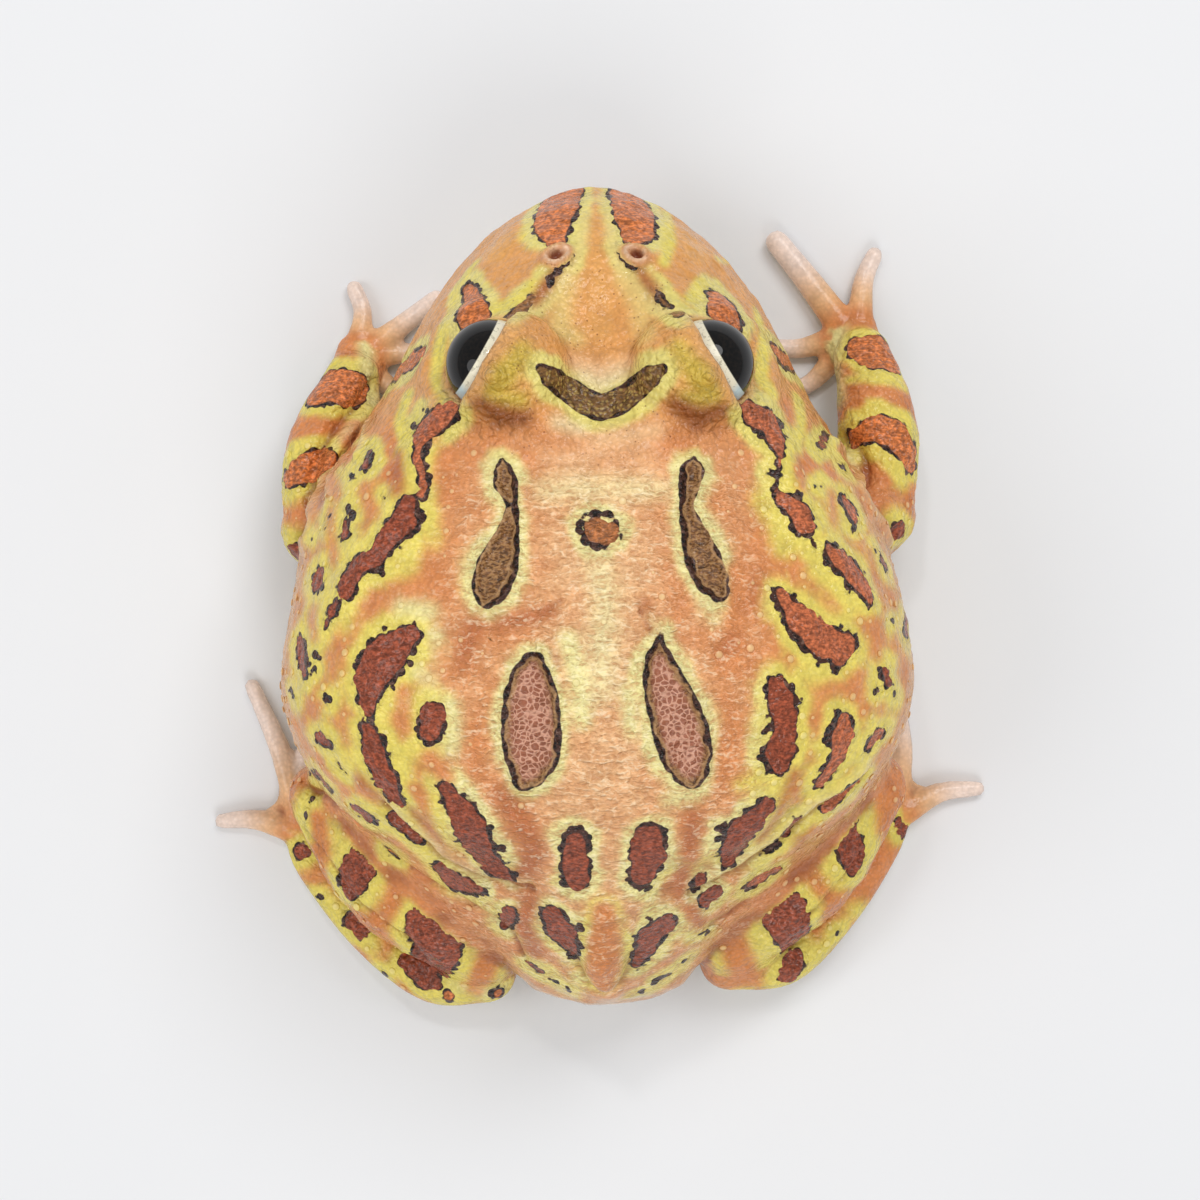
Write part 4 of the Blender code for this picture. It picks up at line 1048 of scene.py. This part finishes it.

# Painted shade: the deeper creases get fine dark lines, as their shadow.
for path, reach, height in FOLDS:
    if height < -0.45:
        line = np.array([seen(*place) for place in path])
        ground = wash(ground, "83452a", 0.6 * np.exp(-((from_path(points, line) / 0.32) ** 2)))

# Below, the skin fades to cream, and the digits are cream and pink towards their tips.
under = ease(-normals[:, 2], -0.25, 0.5) * ease(-points[:, 2], -17, -9)
ground = wash(ground, CREAM, under * 0.9)
flank = (skin_parts == 0) * ease(-normals[:, 2], -0.55, -0.15) * ease(points[:, 1], -20, -10)
ground = wash(ground, "dfb679", flank * 0.55)
vent = (skin_parts == 0) * ease(points[:, 1], 45.5, 48.5) * ease(-normals[:, 2], -0.4, -0.1)
ground = wash(ground, WHITE, vent * 0.6)
# A tongue of orange with a yellow border lies over the rump, down to the vent.
tongue = outside(points, spots(((604, 912, 8), (605, 930, 12), (605, 950, 18), (604, 967, 20), (604, 980, 12))))
rump = (skin_parts == 0) * ease(points[:, 1], 30, 34)
ground = wash(ground, "d98545", (1 - ease(tongue, -0.5, 0.4)) * rump * 0.85)
ground = wash(ground, YELLOW, np.exp(-(((tongue - 0.9) / 0.45) ** 2)) * rump * 0.8)
tip = np.zeros(len(points))
for name, spines in LIMBS.items():
    if not name.endswith(("fingers", "toes")):
        continue
    own = np.flatnonzero(skin_parts == PARTS.index(name))
    nearest = np.full(len(own), np.inf)
    for spine in spines:
        line = smooth_curve(spine, np.linspace(0, len(spine) - 1, 30))
        gap = np.linalg.norm(points[own][:, None] - line[None, :, :3], axis=2)
        closer = gap.min(1) < nearest
        nearest = np.minimum(nearest, gap.min(1))
        tip[own] = np.where(closer, gap.argmin(1) / 29, tip[own])
ground = wash(ground, "edbf8e", ease(tip, 0.0, 0.3) * 0.85)
ground = wash(ground, "f3ddd0", ease(tip, 0.2, 0.8) * 0.95)

# Round each nostril the ring is flushed and painted shade darkens the pit. Each lid is edged in
# brown where it meets the eye, partly its own colour and partly painted shade, heavier on the upper lid.
for centre, along in NOSTRILS:
    ring = from_nostril(points, centre, along)
    ground = wash(ground, "d8905a", 1 - ease(ring, 1.15, 1.8))
    ground = wash(ground, "f8dcbc", np.exp(-(((ring - 0.98) / 0.16) ** 2)) * 0.9)
    # Painted shade inside the nostril's pit.
    ground = wash(ground, "5e2416", 1 - ease(ring, 0.42, 0.66))
    edge = np.where(ring < 1.5, np.maximum(edge, 2.0), edge)
for side in (1, -1):
    rim = np.linalg.norm(points - np.array(EYE_CENTRE) * (side, 1, 1), axis=1) - EYE_RADIUS
    upper = points[:, 2] > EYE_CENTRE[2] - 1
    ground = wash(ground, "e8b070", (1 - ease(rim, 0.7, 1.6)) * 0.7)
    # The brown lid edge: partly its own colour and partly painted shade where the lid meets the eye.
    ground = wash(ground, "9a5a34", (1 - ease(rim, 0.1, 0.5)) * np.where(upper, 0.9, 0.35))
    edge = np.where(rim < 0.5, np.maximum(edge, 0.8), edge)

# Dark rims are broad on the inner and hind sides of the slits of the back, thin elsewhere.
mirror = np.sign(points[:, 0] - MIDLINE_LEAN * points[:, 1])
inward = np.column_stack([-mirror * 0.42, np.full(len(points), 0.25), np.zeros(len(points))])
near = np.flatnonzero((edge < 1.5) & (skin_parts == 0))
facing = np.zeros(len(points))
facing[near] = marking_fields((points + inward)[near], skin_parts[near])[0] - edge[near]
faced = ease(facing, 0.05, 0.4)
band = np.where(kind == KINDS.index("gilt"), 0.26 + 0.72 * faced, 0.24 + 0.34 * faced)
band = np.where(kind == KINDS.index("clay"), 0.40, band)
band = np.where(np.char.endswith(np.array(PARTS)[skin_parts], "arm"), 0.22, band)
band = np.where((kind == KINDS.index("rust")) & (np.abs(points[:, 0]) < 8) & (skin_parts == 0), 0.52, band)
band = np.where(kind == KINDS.index("rose"), 0.60, band)
band = np.where(kind == KINDS.index("olive"), 0.22, band)
band = np.where(kind == KINDS.index("ring"), -0.5, band)
band = np.where(kind == KINDS.index("stud"), 0.48, band)
band = np.where(kind == KINDS.index("soot"), 1.2, band)

FILLS = {
    "clay": "c4703c", "rust": "8c442c", "soot": "5a2c1e", "olive": "8c5f36", "gilt": "7a5230", "rose": "b87c62",
    "ring": "a06236", "brick": "ae5f3c", "stud": "6e4e2a",
}
fill = np.array([rgb(FILLS[name]) for name in KINDS])[kind]
gilded = np.isin(kind, [KINDS.index("gilt"), KINDS.index("rose")]).astype(float)
studded = (kind == KINDS.index("stud")).astype(float)
ring = (kind == KINDS.index("rose")) * (1 - ease(-edge, 0.8, 1.3))
fill = wash(fill, "6a4826", ring)
rosy = (kind == KINDS.index("rose")) * ease(-edge, 0.8, 1.3)

# How hollow the skin is at each point, so that painted shade can darken its creases.
hollow = ((blend_in(points, edges, 1.0, 3) - points) * normals).sum(1)
hollow = blend_in(hollow[:, None], edges, 0.5, 4)[:, 0]
back_fold = ease(points[:, 1], -19, -11) * (skin_parts == 0) * ease(normals[:, 2], 0.1, 0.6)
back_fold *= 1 - 0.82 * ease(np.abs(points[:, 0]), 13, 22)
lids = ease(-np.abs(np.abs(points[:, 0]) - 13), -6.5, -4.5) * ease(-np.abs(points[:, 1] + 25), -8, -6)
lids *= ease(normals[:, 2], 0.2, 0.5)
granular = 1 - 0.55 * ease(points[:, 1], -20, -12) * (skin_parts == 0) + 0.8 * lids
smooth_digits = np.isin(skin_parts, [PARTS.index(n) for n in PARTS if n.endswith(("fingers", "toes"))])
granular = granular * np.where(smooth_digits, 0.2, 1) * (1 - 0.45 * ease(-points[:, 1], 29, 36))
warty = ease(np.abs(points[:, 0]), 10, 22) * ease(points[:, 1], -22, -12) * ease(normals[:, 2], -0.2, 0.2)
warty = warty * (0.3 + 0.7 * ease(wander, -0.2, 0.3))
warty = np.maximum(warty, 0.05 * back_fold) * (edge > 0.5) * ~smooth_digits * (points[:, 2] > 5)
flecked = ease(points[:, 1], -46, -36) * ease(-points[:, 1], 10, 20) * ease(normals[:, 2], 0.3, 0.7)
flecked *= 1 - ease(np.abs(points[:, 0]), 9, 14)


def keep_value(name, values):
    """Stores one number for every point of the skin."""
    mesh.attributes.new(name, "FLOAT", "POINT").data.foreach_set("value", np.asarray(values, np.float32))


def keep_colour(name, colours):
    """Stores one linear colour for every point of the skin."""
    rows = np.column_stack([colours, np.ones(len(colours))]).astype(np.float32)
    mesh.attributes.new(name, "FLOAT_COLOR", "POINT").data.foreach_set("color", rows.ravel())


fill = blend_in(fill, edges, 0.5, 2)
ground = blend_in(ground, edges, 0.5, 1)
keep_value("edge", edge)
keep_value("wrinkled", back_fold)
keep_value("granular", granular)
keep_value("warty", warty)
keep_value("hollow", np.clip(hollow * 8, -1, 1))
keep_value("gilded", blend_in(gilded[:, None], edges, 0.5, 3)[:, 0])
keep_value("studded", blend_in(studded[:, None], edges, 0.5, 2)[:, 0])
keep_value("rosy", blend_in(rosy[:, None], edges, 0.5, 1)[:, 0])
keep_value("band", blend_in(band[:, None], edges, 0.5, 2)[:, 0])
keep_value("flecked", flecked)
keep_colour("ground", ground)
keep_colour("fill", fill)
points[:, 2] = np.maximum(points[:, 2], 0)
write(mesh, points * MM)
mesh.shade_smooth()

# Moist amphibian skin: soft and thin, with cobbled granules half a millimetre across and fine
# cross wrinkles on the back, under a film of slime that shines.
MATH, RANGE, MIX, NOISE = "ShaderNodeMath", "ShaderNodeMapRange", "ShaderNodeMix", "ShaderNodeTexNoise"
CELLS, SHADE = "ShaderNodeTexVoronoi", "ShaderNodeVectorMath"
PLUS, TIMES, TIMES_PLUS = {"operation": "ADD"}, {"operation": "MULTIPLY"}, {"operation": "MULTIPLY_ADD"}
COLOURS, SCALED = {"data_type": "RGBA"}, {"operation": "SCALE"}
GRANULE = 0.00050
PEBBLE = 0.00105
TOOTH = 0.00042
SCALLOP = 0.00115
COBBLE = 0.00066
WRINKLE = 0.00060
FLECK = 0.00085

place = add(tree, "ShaderNodeTexCoord").outputs["Object"]
values = {
    name: add(tree, "ShaderNodeAttribute", {"attribute_name": name}).outputs["Fac"]
    for name in ("edge", "band", "wrinkled", "granular", "hollow", "gilded", "rosy", "studded", "flecked")
}
ground_tone, fill_tone = (
    add(tree, "ShaderNodeAttribute", {"attribute_name": name}).outputs["Color"] for name in ("ground", "fill")
)
bent = add(tree, NOISE, None, {"Vector": place, "Scale": 900.0, "Detail": 0.0}).outputs["Color"]
bend = add(tree, SHADE, TIMES_PLUS, (bent, (0.0005, 0.0005, 0.0005), place))
granules = add(tree, CELLS, None, {"Vector": bend, "Scale": 1 / GRANULE})
pebbles = add(tree, CELLS, None, {"Vector": bend, "Scale": 1 / PEBBLE})
combed = add(tree, "ShaderNodeMapping", None, {"Vector": bend, "Scale": (0.5, 1.0, 0.7)})
teeth = add(tree, CELLS, None, {"Vector": combed, "Scale": 1 / TOOTH})
scallops = add(tree, CELLS, None, {"Vector": place, "Scale": 1 / SCALLOP})
cobbles = add(tree, CELLS, None, {"Vector": bend, "Scale": 1 / COBBLE})
beyond = add(tree, CELLS, {"feature": "F2"}, {"Vector": bend, "Scale": 1 / COBBLE})
cracks = add(tree, MATH, {"operation": "SUBTRACT"}, (beyond, cobbles))
specks = add(tree, CELLS, None, {"Vector": place, "Scale": 1 / FLECK})
ragged = add(tree, NOISE, None, {"Vector": place, "Scale": 1500.0, "Detail": 2.0})
mottle = add(tree, NOISE, None, {"Vector": place, "Scale": 420.0, "Detail": 3.0})
cloudy = add(tree, NOISE, None, {"Vector": place, "Scale": 330.0, "Detail": 1.0})
stretched = add(tree, "ShaderNodeMapping", None, {"Vector": bend, "Scale": (0.30, 0.9, 0.5)})
wrinkles = add(tree, NOISE, None, {"Vector": stretched, "Scale": 1 / WRINKLE, "Detail": 1.0, "Distortion": 0.8})
finer = add(tree, "ShaderNodeMapping", None, {"Vector": bend, "Scale": (0.55, 1.0, 0.8)})
grain = add(tree, NOISE, None, {"Vector": finer, "Scale": 2.2 / WRINKLE, "Detail": 1.0})

# A marking's edge is scalloped by the rows of pebbles that it follows, and finely toothed. Its
# dark rim comes and goes in breadth.
shift = add(tree, MATH, TIMES_PLUS, (scallops, 0.90, -0.38))
jag = add(tree, MATH, TIMES_PLUS, (ragged, 0.24, -0.12))
trim = add(tree, MATH, {"operation": "MAXIMUM"}, (values["gilded"], values["studded"]))
calm = add(tree, MATH, TIMES_PLUS, (trim, -0.75, 1.0))
border = add(tree, MATH, TIMES_PLUS, (add(tree, MATH, PLUS, (shift, jag)), calm, values["edge"]))
inside = add(tree, RANGE, None, (border, 0.05, -0.05, 0.0, 1.0))
breadth = add(tree, MATH, PLUS, (add(tree, MATH, TIMES_PLUS, (cloudy, 1.8, -0.9)), values["band"]))
beaded = add(tree, MATH, PLUS, (add(tree, MATH, TIMES_PLUS, (scallops, -0.8, 0.36)), breadth))
ledge = add(tree, MATH, PLUS, (border, beaded))
dark = add(tree, RANGE, None, (ledge, -0.06, 0.10, 0.0, 1.0))

# Ground: each granule is paler than the skin round it. Over the back, a painted highlight lies
# on the crests of the wrinkles and painted shade in their furrows, and painted shade, darker and
# redder, lies in the creases. Fine dark flecks lie on the nape and the forehead.
tone = add(tree, MATH, TIMES, (
    add(tree, RANGE, None, (granules, 0.0, 0.8, 1.09, 0.88)), add(tree, RANGE, None, (mottle, 0.3, 0.7, 0.90, 1.08)),
))
folds = add(tree, MATH, PLUS, (
    add(tree, RANGE, None, (wrinkles, 0.34, 0.66, -0.10, 0.12)),
    add(tree, RANGE, None, (grain, 0.32, 0.68, -0.08, 0.10)),
))
# Painted light and shade: the ground is lightened on the crests of the wrinkles and darkened in their furrows.
fold_light_and_shade = add(tree, MATH, TIMES, (folds, values["wrinkled"]))
toned = add(tree, SHADE, SCALED, (ground_tone, add(tree, MATH, PLUS, (tone, fold_light_and_shade))))
# Painted shade, a deeper orange, in the furrows of the wrinkles.
furrow_shade = add(tree, MATH, TIMES, (add(tree, RANGE, None, (folds, 0.02, -0.16, 0.0, 0.5)), values["wrinkled"]))
toned = add(tree, MIX, COLOURS, (furrow_shade, toned, linear("d58a50")))
# A pale painted highlight on the crests of the wrinkles.
crest_highlit = add(tree, MIX, COLOURS, (
    add(tree, MATH, TIMES, (add(tree, RANGE, None, (folds, 0.06, 0.20, 0.0, 0.45)), values["wrinkled"])),
    toned, linear("fbeecb"),
))
# Painted shade: darker and redder where the skin is hollow, in its creases.
crease_shaded = add(tree, MIX, COLOURS, (
    add(tree, RANGE, None, (values["hollow"], 0.15, 0.9, 0.0, 0.7)), crest_highlit, linear("8e4a2c"),
))
speckle = add(tree, MATH, TIMES, (add(tree, RANGE, None, (specks, 0.16, 0.11, 0.0, 0.6)), values["flecked"]))
speckled = add(tree, MIX, COLOURS, (speckle, crease_shaded, linear("7a4024")))

# Inside a marking: brick red with paler fibres, striped gold-brown in the slits of the back,
# and netted with pale pink ridges in the two hind ones. Its rim is beaded in black.
fibres = add(tree, MATH, TIMES, (
    add(tree, RANGE, None, (ragged, 0.28, 0.72, 0.58, 1.46)), add(tree, RANGE, None, (grain, 0.36, 0.64, 0.66, 1.38)),
))
plain = add(tree, SHADE, SCALED, (fill_tone, fibres))
striped = add(tree, MIX, COLOURS, (add(tree, RANGE, None, (grain, 0.44, 0.66, 0.0, 0.75)), plain, linear("ad8352")))
gilt = add(tree, MIX, COLOURS, (values["gilded"], plain, striped))
studs = add(tree, MATH, TIMES, (add(tree, RANGE, None, (granules, 0.48, 0.22, 0.0, 0.8)), values["studded"]))
gilt = add(tree, MIX, COLOURS, (studs, gilt, linear("b0924e")))
pit = add(tree, SHADE, SCALED, (linear("96583f")[:3], add(tree, RANGE, None, (mottle, 0.3, 0.7, 0.8, 1.2))))
netted = add(tree, MIX, COLOURS, (add(tree, RANGE, None, (cracks, 0.05, 0.25, 0.0, 1.0)), linear("d8a187"), pit))
rosed = add(tree, MIX, COLOURS, (add(tree, MATH, TIMES, (values["rosy"], 0.9)), gilt, netted))
lip = add(tree, MATH, TIMES, (add(tree, RANGE, None, (ledge, -0.38, -0.24, 0.0, 0.5)), values["gilded"]))
lipped = add(tree, MIX, COLOURS, (lip, rosed, linear("c79c6c")))
beads = add(tree, RANGE, None, (teeth, 0.3, 0.66, 0.0, 1.0))
# Painted highlights: pale glints on the dark beads of the rims.
glints = add(tree, RANGE, None, (ragged, 0.56, 0.70, 0.0, 0.6))
bead_tone = add(tree, MIX, COLOURS, (beads, linear("0e0605"), linear("45281e")))
bead_tone = add(tree, MIX, COLOURS, (glints, bead_tone, linear("8d6a5a")))
filled = add(tree, MIX, COLOURS, (dark, lipped, bead_tone))
final = add(tree, MIX, COLOURS, (inside, speckled, filled))

# The relief, in millimetres: granules and wrinkles, with the dark beads standing proud.
rims = add(tree, MATH, TIMES, (
    add(tree, RANGE, None, (values["edge"], -0.7, -0.2, 0.0, 1.0)),
    add(tree, RANGE, None, (values["edge"], 0.25, 0.0, 0.0, 1.0)),
))
relief = 0.0
for height, share in (
    (add(tree, RANGE, None, (granules, 0.1, 0.9, 0.10, 0.0)), values["granular"]),
    (add(tree, RANGE, None, (pebbles, 0.15, 0.7, 0.20, 0.0)), values["granular"]),
    (add(tree, RANGE, None, (wrinkles, 0.32, 0.68, 0.0, 0.15)), values["wrinkled"]),
    (add(tree, RANGE, None, (grain, 0.30, 0.70, 0.0, 0.11)), values["wrinkled"]),
    (add(tree, RANGE, None, (teeth, 0.1, 0.7, 0.20, 0.0)), rims),
    (ragged, 0.05),
):
    relief = add(tree, MATH, TIMES_PLUS, (height, share, relief))
bump = add(tree, "ShaderNodeBump", None, {"Strength": 1.0, "Distance": MM, "Height": relief})
shader = add(
    tree, "ShaderNodeBsdfPrincipled", None,
    {
        "Base Color": final, "Roughness": add(tree, RANGE, None, (mottle, 0.3, 0.7, 0.14, 0.28)), "IOR": 1.42,
        "Normal": bump,
    },
)
add(tree, "ShaderNodeOutputMaterial", None, {"Surface": shader})

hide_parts(*[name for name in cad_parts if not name.startswith("eye_")])
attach(skin, "root")


# Warts. Small soft glands stand on the flanks, the shoulders and the thighs, and a few on the
# back. They are low domes strewn over the skin where it is loose, each a little paler on top.
WART_SPACING = 0.0013
WART_RADIUS = 0.00046
WART_STEEPNESS = 0.3
WART_SIDES, WART_BANDS = 8, 3

gland_skin, tree = new_material("moist_gland_skin")
place = add(tree, "ShaderNodeTexCoord").outputs["Object"]
ground_tone = add(tree, "ShaderNodeAttribute", {"attribute_name": "ground"}).outputs["Color"]
rise = add(tree, "ShaderNodeAttribute", {"attribute_name": "rise"}).outputs["Fac"]
grain = add(tree, NOISE, None, {"Vector": place, "Scale": 1800.0, "Detail": 2.0})
paler = add(tree, RANGE, None, (rise, 0.25, 0.9, 0.0, 0.42))
topped = add(tree, MIX, COLOURS, (paler, ground_tone, linear("f3e2a8")))
toned = add(tree, SHADE, SCALED, (topped, add(tree, RANGE, None, (grain, 0.3, 0.7, 0.92, 1.06))))
bump = add(tree, "ShaderNodeBump", None, {
    "Strength": 1.0, "Distance": MM, "Height": add(tree, MATH, TIMES, (grain, 0.06)),
})
shader = add(
    tree, "ShaderNodeBsdfPrincipled", None,
    {
        "Base Color": toned, "Roughness": 0.24, "IOR": 1.42, "Normal": bump,
    },
)
add(tree, "ShaderNodeOutputMaterial", None, {"Surface": shader})

ring = np.arange(WART_SIDES) / WART_SIDES * math.tau
dome_points, dome_faces, dome_rise = [], [], []
for k in range(WART_BANDS):
    tilt = math.pi / 2 * (1 - k / WART_BANDS)
    dome_points += [(math.sin(tilt) * math.cos(a), math.sin(tilt) * math.sin(a), math.cos(tilt)) for a in ring]
    dome_rise += [math.cos(tilt)] * WART_SIDES
dome_points += [(0, 0, 1), (0, 0, -0.4)]
dome_rise += [1, 0]
crown, foot = len(dome_points) - 2, len(dome_points) - 1
for k in range(WART_SIDES):
    after = (k + 1) % WART_SIDES
    for level in range(WART_BANDS - 1):
        low, high = level * WART_SIDES, (level + 1) * WART_SIDES
        dome_faces.append((low + k, low + after, high + after, high + k))
    top = (WART_BANDS - 1) * WART_SIDES
    dome_faces += [(top + k, top + after, crown), (after, k, foot)]
dome = new_object("wart_dome", dome_points, dome_faces, gland_skin)
dome.data.attributes.new("rise", "FLOAT", "POINT").data.foreach_set("value", np.array(dome_rise, np.float32))

wart_tree = bpy.data.node_groups.new("strewn_warts", "GeometryNodeTree")
for name, sort in (
    ("Skin", "Object"), ("Dome", "Object"), ("Material", "Material"),
    ("Spacing", "Float"), ("Radius", "Float"), ("Steepness", "Float"),
):
    wart_tree.interface.new_socket(name, in_out="INPUT", socket_type="NodeSocket" + sort)
wart_tree.interface.new_socket("Geometry", in_out="OUTPUT", socket_type="NodeSocketGeometry")
given = add(wart_tree, "NodeGroupInput").outputs
skin_shape = add(wart_tree, "GeometryNodeObjectInfo", None, {"Object": given["Skin"]}).outputs["Geometry"]
dome_shape = add(wart_tree, "GeometryNodeObjectInfo", None, {"Object": given["Dome"]}).outputs["Geometry"]
looseness = add(wart_tree, "GeometryNodeInputNamedAttribute", {"data_type": "FLOAT"}, {"Name": "warty"})
strewn = add(wart_tree, "GeometryNodeDistributePointsOnFaces", {"distribute_method": "POISSON"}, {
    "Mesh": skin_shape, "Distance Min": given["Spacing"], "Density Max": 5e5, "Density Factor": looseness, "Seed": 11,
}).outputs
spread = add(wart_tree, "FunctionNodeRandomValue", {"data_type": "FLOAT"}, {"Min": 0.3, "Max": 1.2, "Seed": 5})
radius = add(wart_tree, MATH, TIMES, (spread, given["Radius"]))
height = add(wart_tree, MATH, TIMES, (radius, given["Steepness"]))
size = add(wart_tree, "ShaderNodeCombineXYZ", None, (radius, radius, height))
placed = add(wart_tree, "GeometryNodeInstanceOnPoints", None, {
    "Points": strewn["Points"], "Instance": dome_shape, "Rotation": strewn["Rotation"], "Scale": size,
})
real = add(wart_tree, "GeometryNodeRealizeInstances", None, {"Geometry": placed})
skinned = add(wart_tree, "GeometryNodeSetMaterial", None, {"Geometry": real, "Material": given["Material"]})
add(wart_tree, "NodeGroupOutput", None, {"Geometry": skinned})

warts = new_object("warts", [], [], gland_skin)
strew = warts.modifiers.new("strew", "NODES")
strew.node_group = wart_tree
sockets = {item.name: item.identifier for item in wart_tree.interface.items_tree if item.in_out == "INPUT"}
for name, value in (
    ("Skin", skin), ("Dome", dome), ("Material", gland_skin),
    ("Spacing", WART_SPACING), ("Radius", WART_RADIUS), ("Steepness", WART_STEEPNESS),
):
    strew[sockets[name]] = value
wart_mesh = evaluated_mesh(warts)
wart_mesh.shade_smooth()
bpy.data.objects.remove(dome)
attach(warts, "root")


# Eyes. Each is a wet ball, set deep under its lid and turned out and a little forward. A wide
# dark pupil fills the front, with a narrow pale gold iris round it that shows by the lid.
SIDES, RINGS = 96, 64
CORNEA_BULGE = 0.02
IRIS_EDGE = 66.0


def eye_shell(side):
    """A ball whose pole looks out, with each point's angle from that pole in degrees."""
    turn = math.radians(-LID_TURN)
    gaze = np.array((math.cos(turn) * math.cos(0.12), math.sin(turn) * math.cos(0.12), math.sin(0.12)))
    level = np.cross(gaze, (0, 0, 1)) * -1
    level /= np.linalg.norm(level)
    upright = np.cross(gaze, level)
    angle = np.linspace(0, math.pi, RINGS + 2)[1:-1]
    around = np.arange(SIDES) / SIDES * math.tau
    rows, angles, lifts, rears = [], [], [], []
    for a in angle:
        radius = EYE_RADIUS * (1 + CORNEA_BULGE * math.exp(-((a / 0.9) ** 2)))
        circle = np.outer(np.cos(around), level) + np.outer(np.sin(around), upright)
        rows.append(radius * (math.cos(a) * gaze + math.sin(a) * circle))
        angles.append(np.full(SIDES, math.degrees(a)))
        lifts.append(np.sin(around))
        rears.append(np.cos(around))
    rows += [[gaze * EYE_RADIUS * (1 + CORNEA_BULGE)], [-gaze * EYE_RADIUS]]
    points = (np.vstack(rows) + EYE_CENTRE) * (side, 1, 1)
    return points, {
        "angle": np.concatenate(angles + [[0, 180]]), "lift": np.concatenate(lifts + [[0, 0]]),
        "rear": np.concatenate(rears + [[0, 0]]),
    }


# A wet, glassy cornea over the iris: black in front, cream with dark flecks above and below,
# and a bluish third lid tucked in the hind corner.
eye_material, tree = new_material("wet_cornea_over_cream_iris")
angle, lift, rear = (
    add(tree, "ShaderNodeAttribute", {"attribute_name": name}).outputs["Fac"] for name in ("angle", "lift", "rear")
)
place = add(tree, "ShaderNodeTexCoord").outputs["Object"]
veins = add(tree, NOISE, None, {"Vector": place, "Scale": 2600.0, "Detail": 3.0})
beyond = add(tree, MATH, {"operation": "SUBTRACT"}, (angle, IRIS_EDGE))
flecks = add(tree, RANGE, None, (veins, 0.36, 0.44, 0.4, 0.0))
cream = add(tree, MIX, COLOURS, (flecks, linear("ebe5cc"), linear("6a6149")))
cornered = add(tree, MIX, COLOURS, (add(tree, RANGE, None, (rear, 0.70, 0.86, 0.0, 0.85)), cream, linear("b4cfd8")))
bronzed = add(tree, RANGE, None, (veins, 0.42, 0.7, 0.0, 1.0))
bronze = add(tree, MIX, COLOURS, (bronzed, linear("060607"), linear("1c1612")))
rays = add(tree, RANGE, None, (angle, 30.0, 40.0, 0.0, 0.8))
front = add(tree, MIX, COLOURS, (rays, linear("030304"), bronze))
iris = add(tree, MIX, COLOURS, (add(tree, RANGE, None, (beyond, 0.0, 1.2, 0.0, 1.0)), front, cornered))
shader = add(tree, "ShaderNodeBsdfPrincipled", None, {"Base Color": iris, "Roughness": 0.03, "IOR": 1.36})
add(tree, "ShaderNodeOutputMaterial", None, {"Surface": shader})

for name, side in (("left", 1), ("right", -1)):
    points, seats = eye_shell(side)
    eye = new_object(f"{name}_eyeball", [Vector(p) * MM for p in points], tube_faces(RINGS, SIDES), eye_material)
    for seat, shares in seats.items():
        eye.data.attributes.new(seat, "FLOAT", "POINT").data.foreach_set("value", shares.astype(np.float32))
    shape = bmesh.new()
    shape.from_mesh(eye.data)
    bmesh.ops.recalc_face_normals(shape, faces=shape.faces)
    shape.to_mesh(eye.data)
    shape.free()
    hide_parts(f"eye_{name}")
    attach(eye, "root")
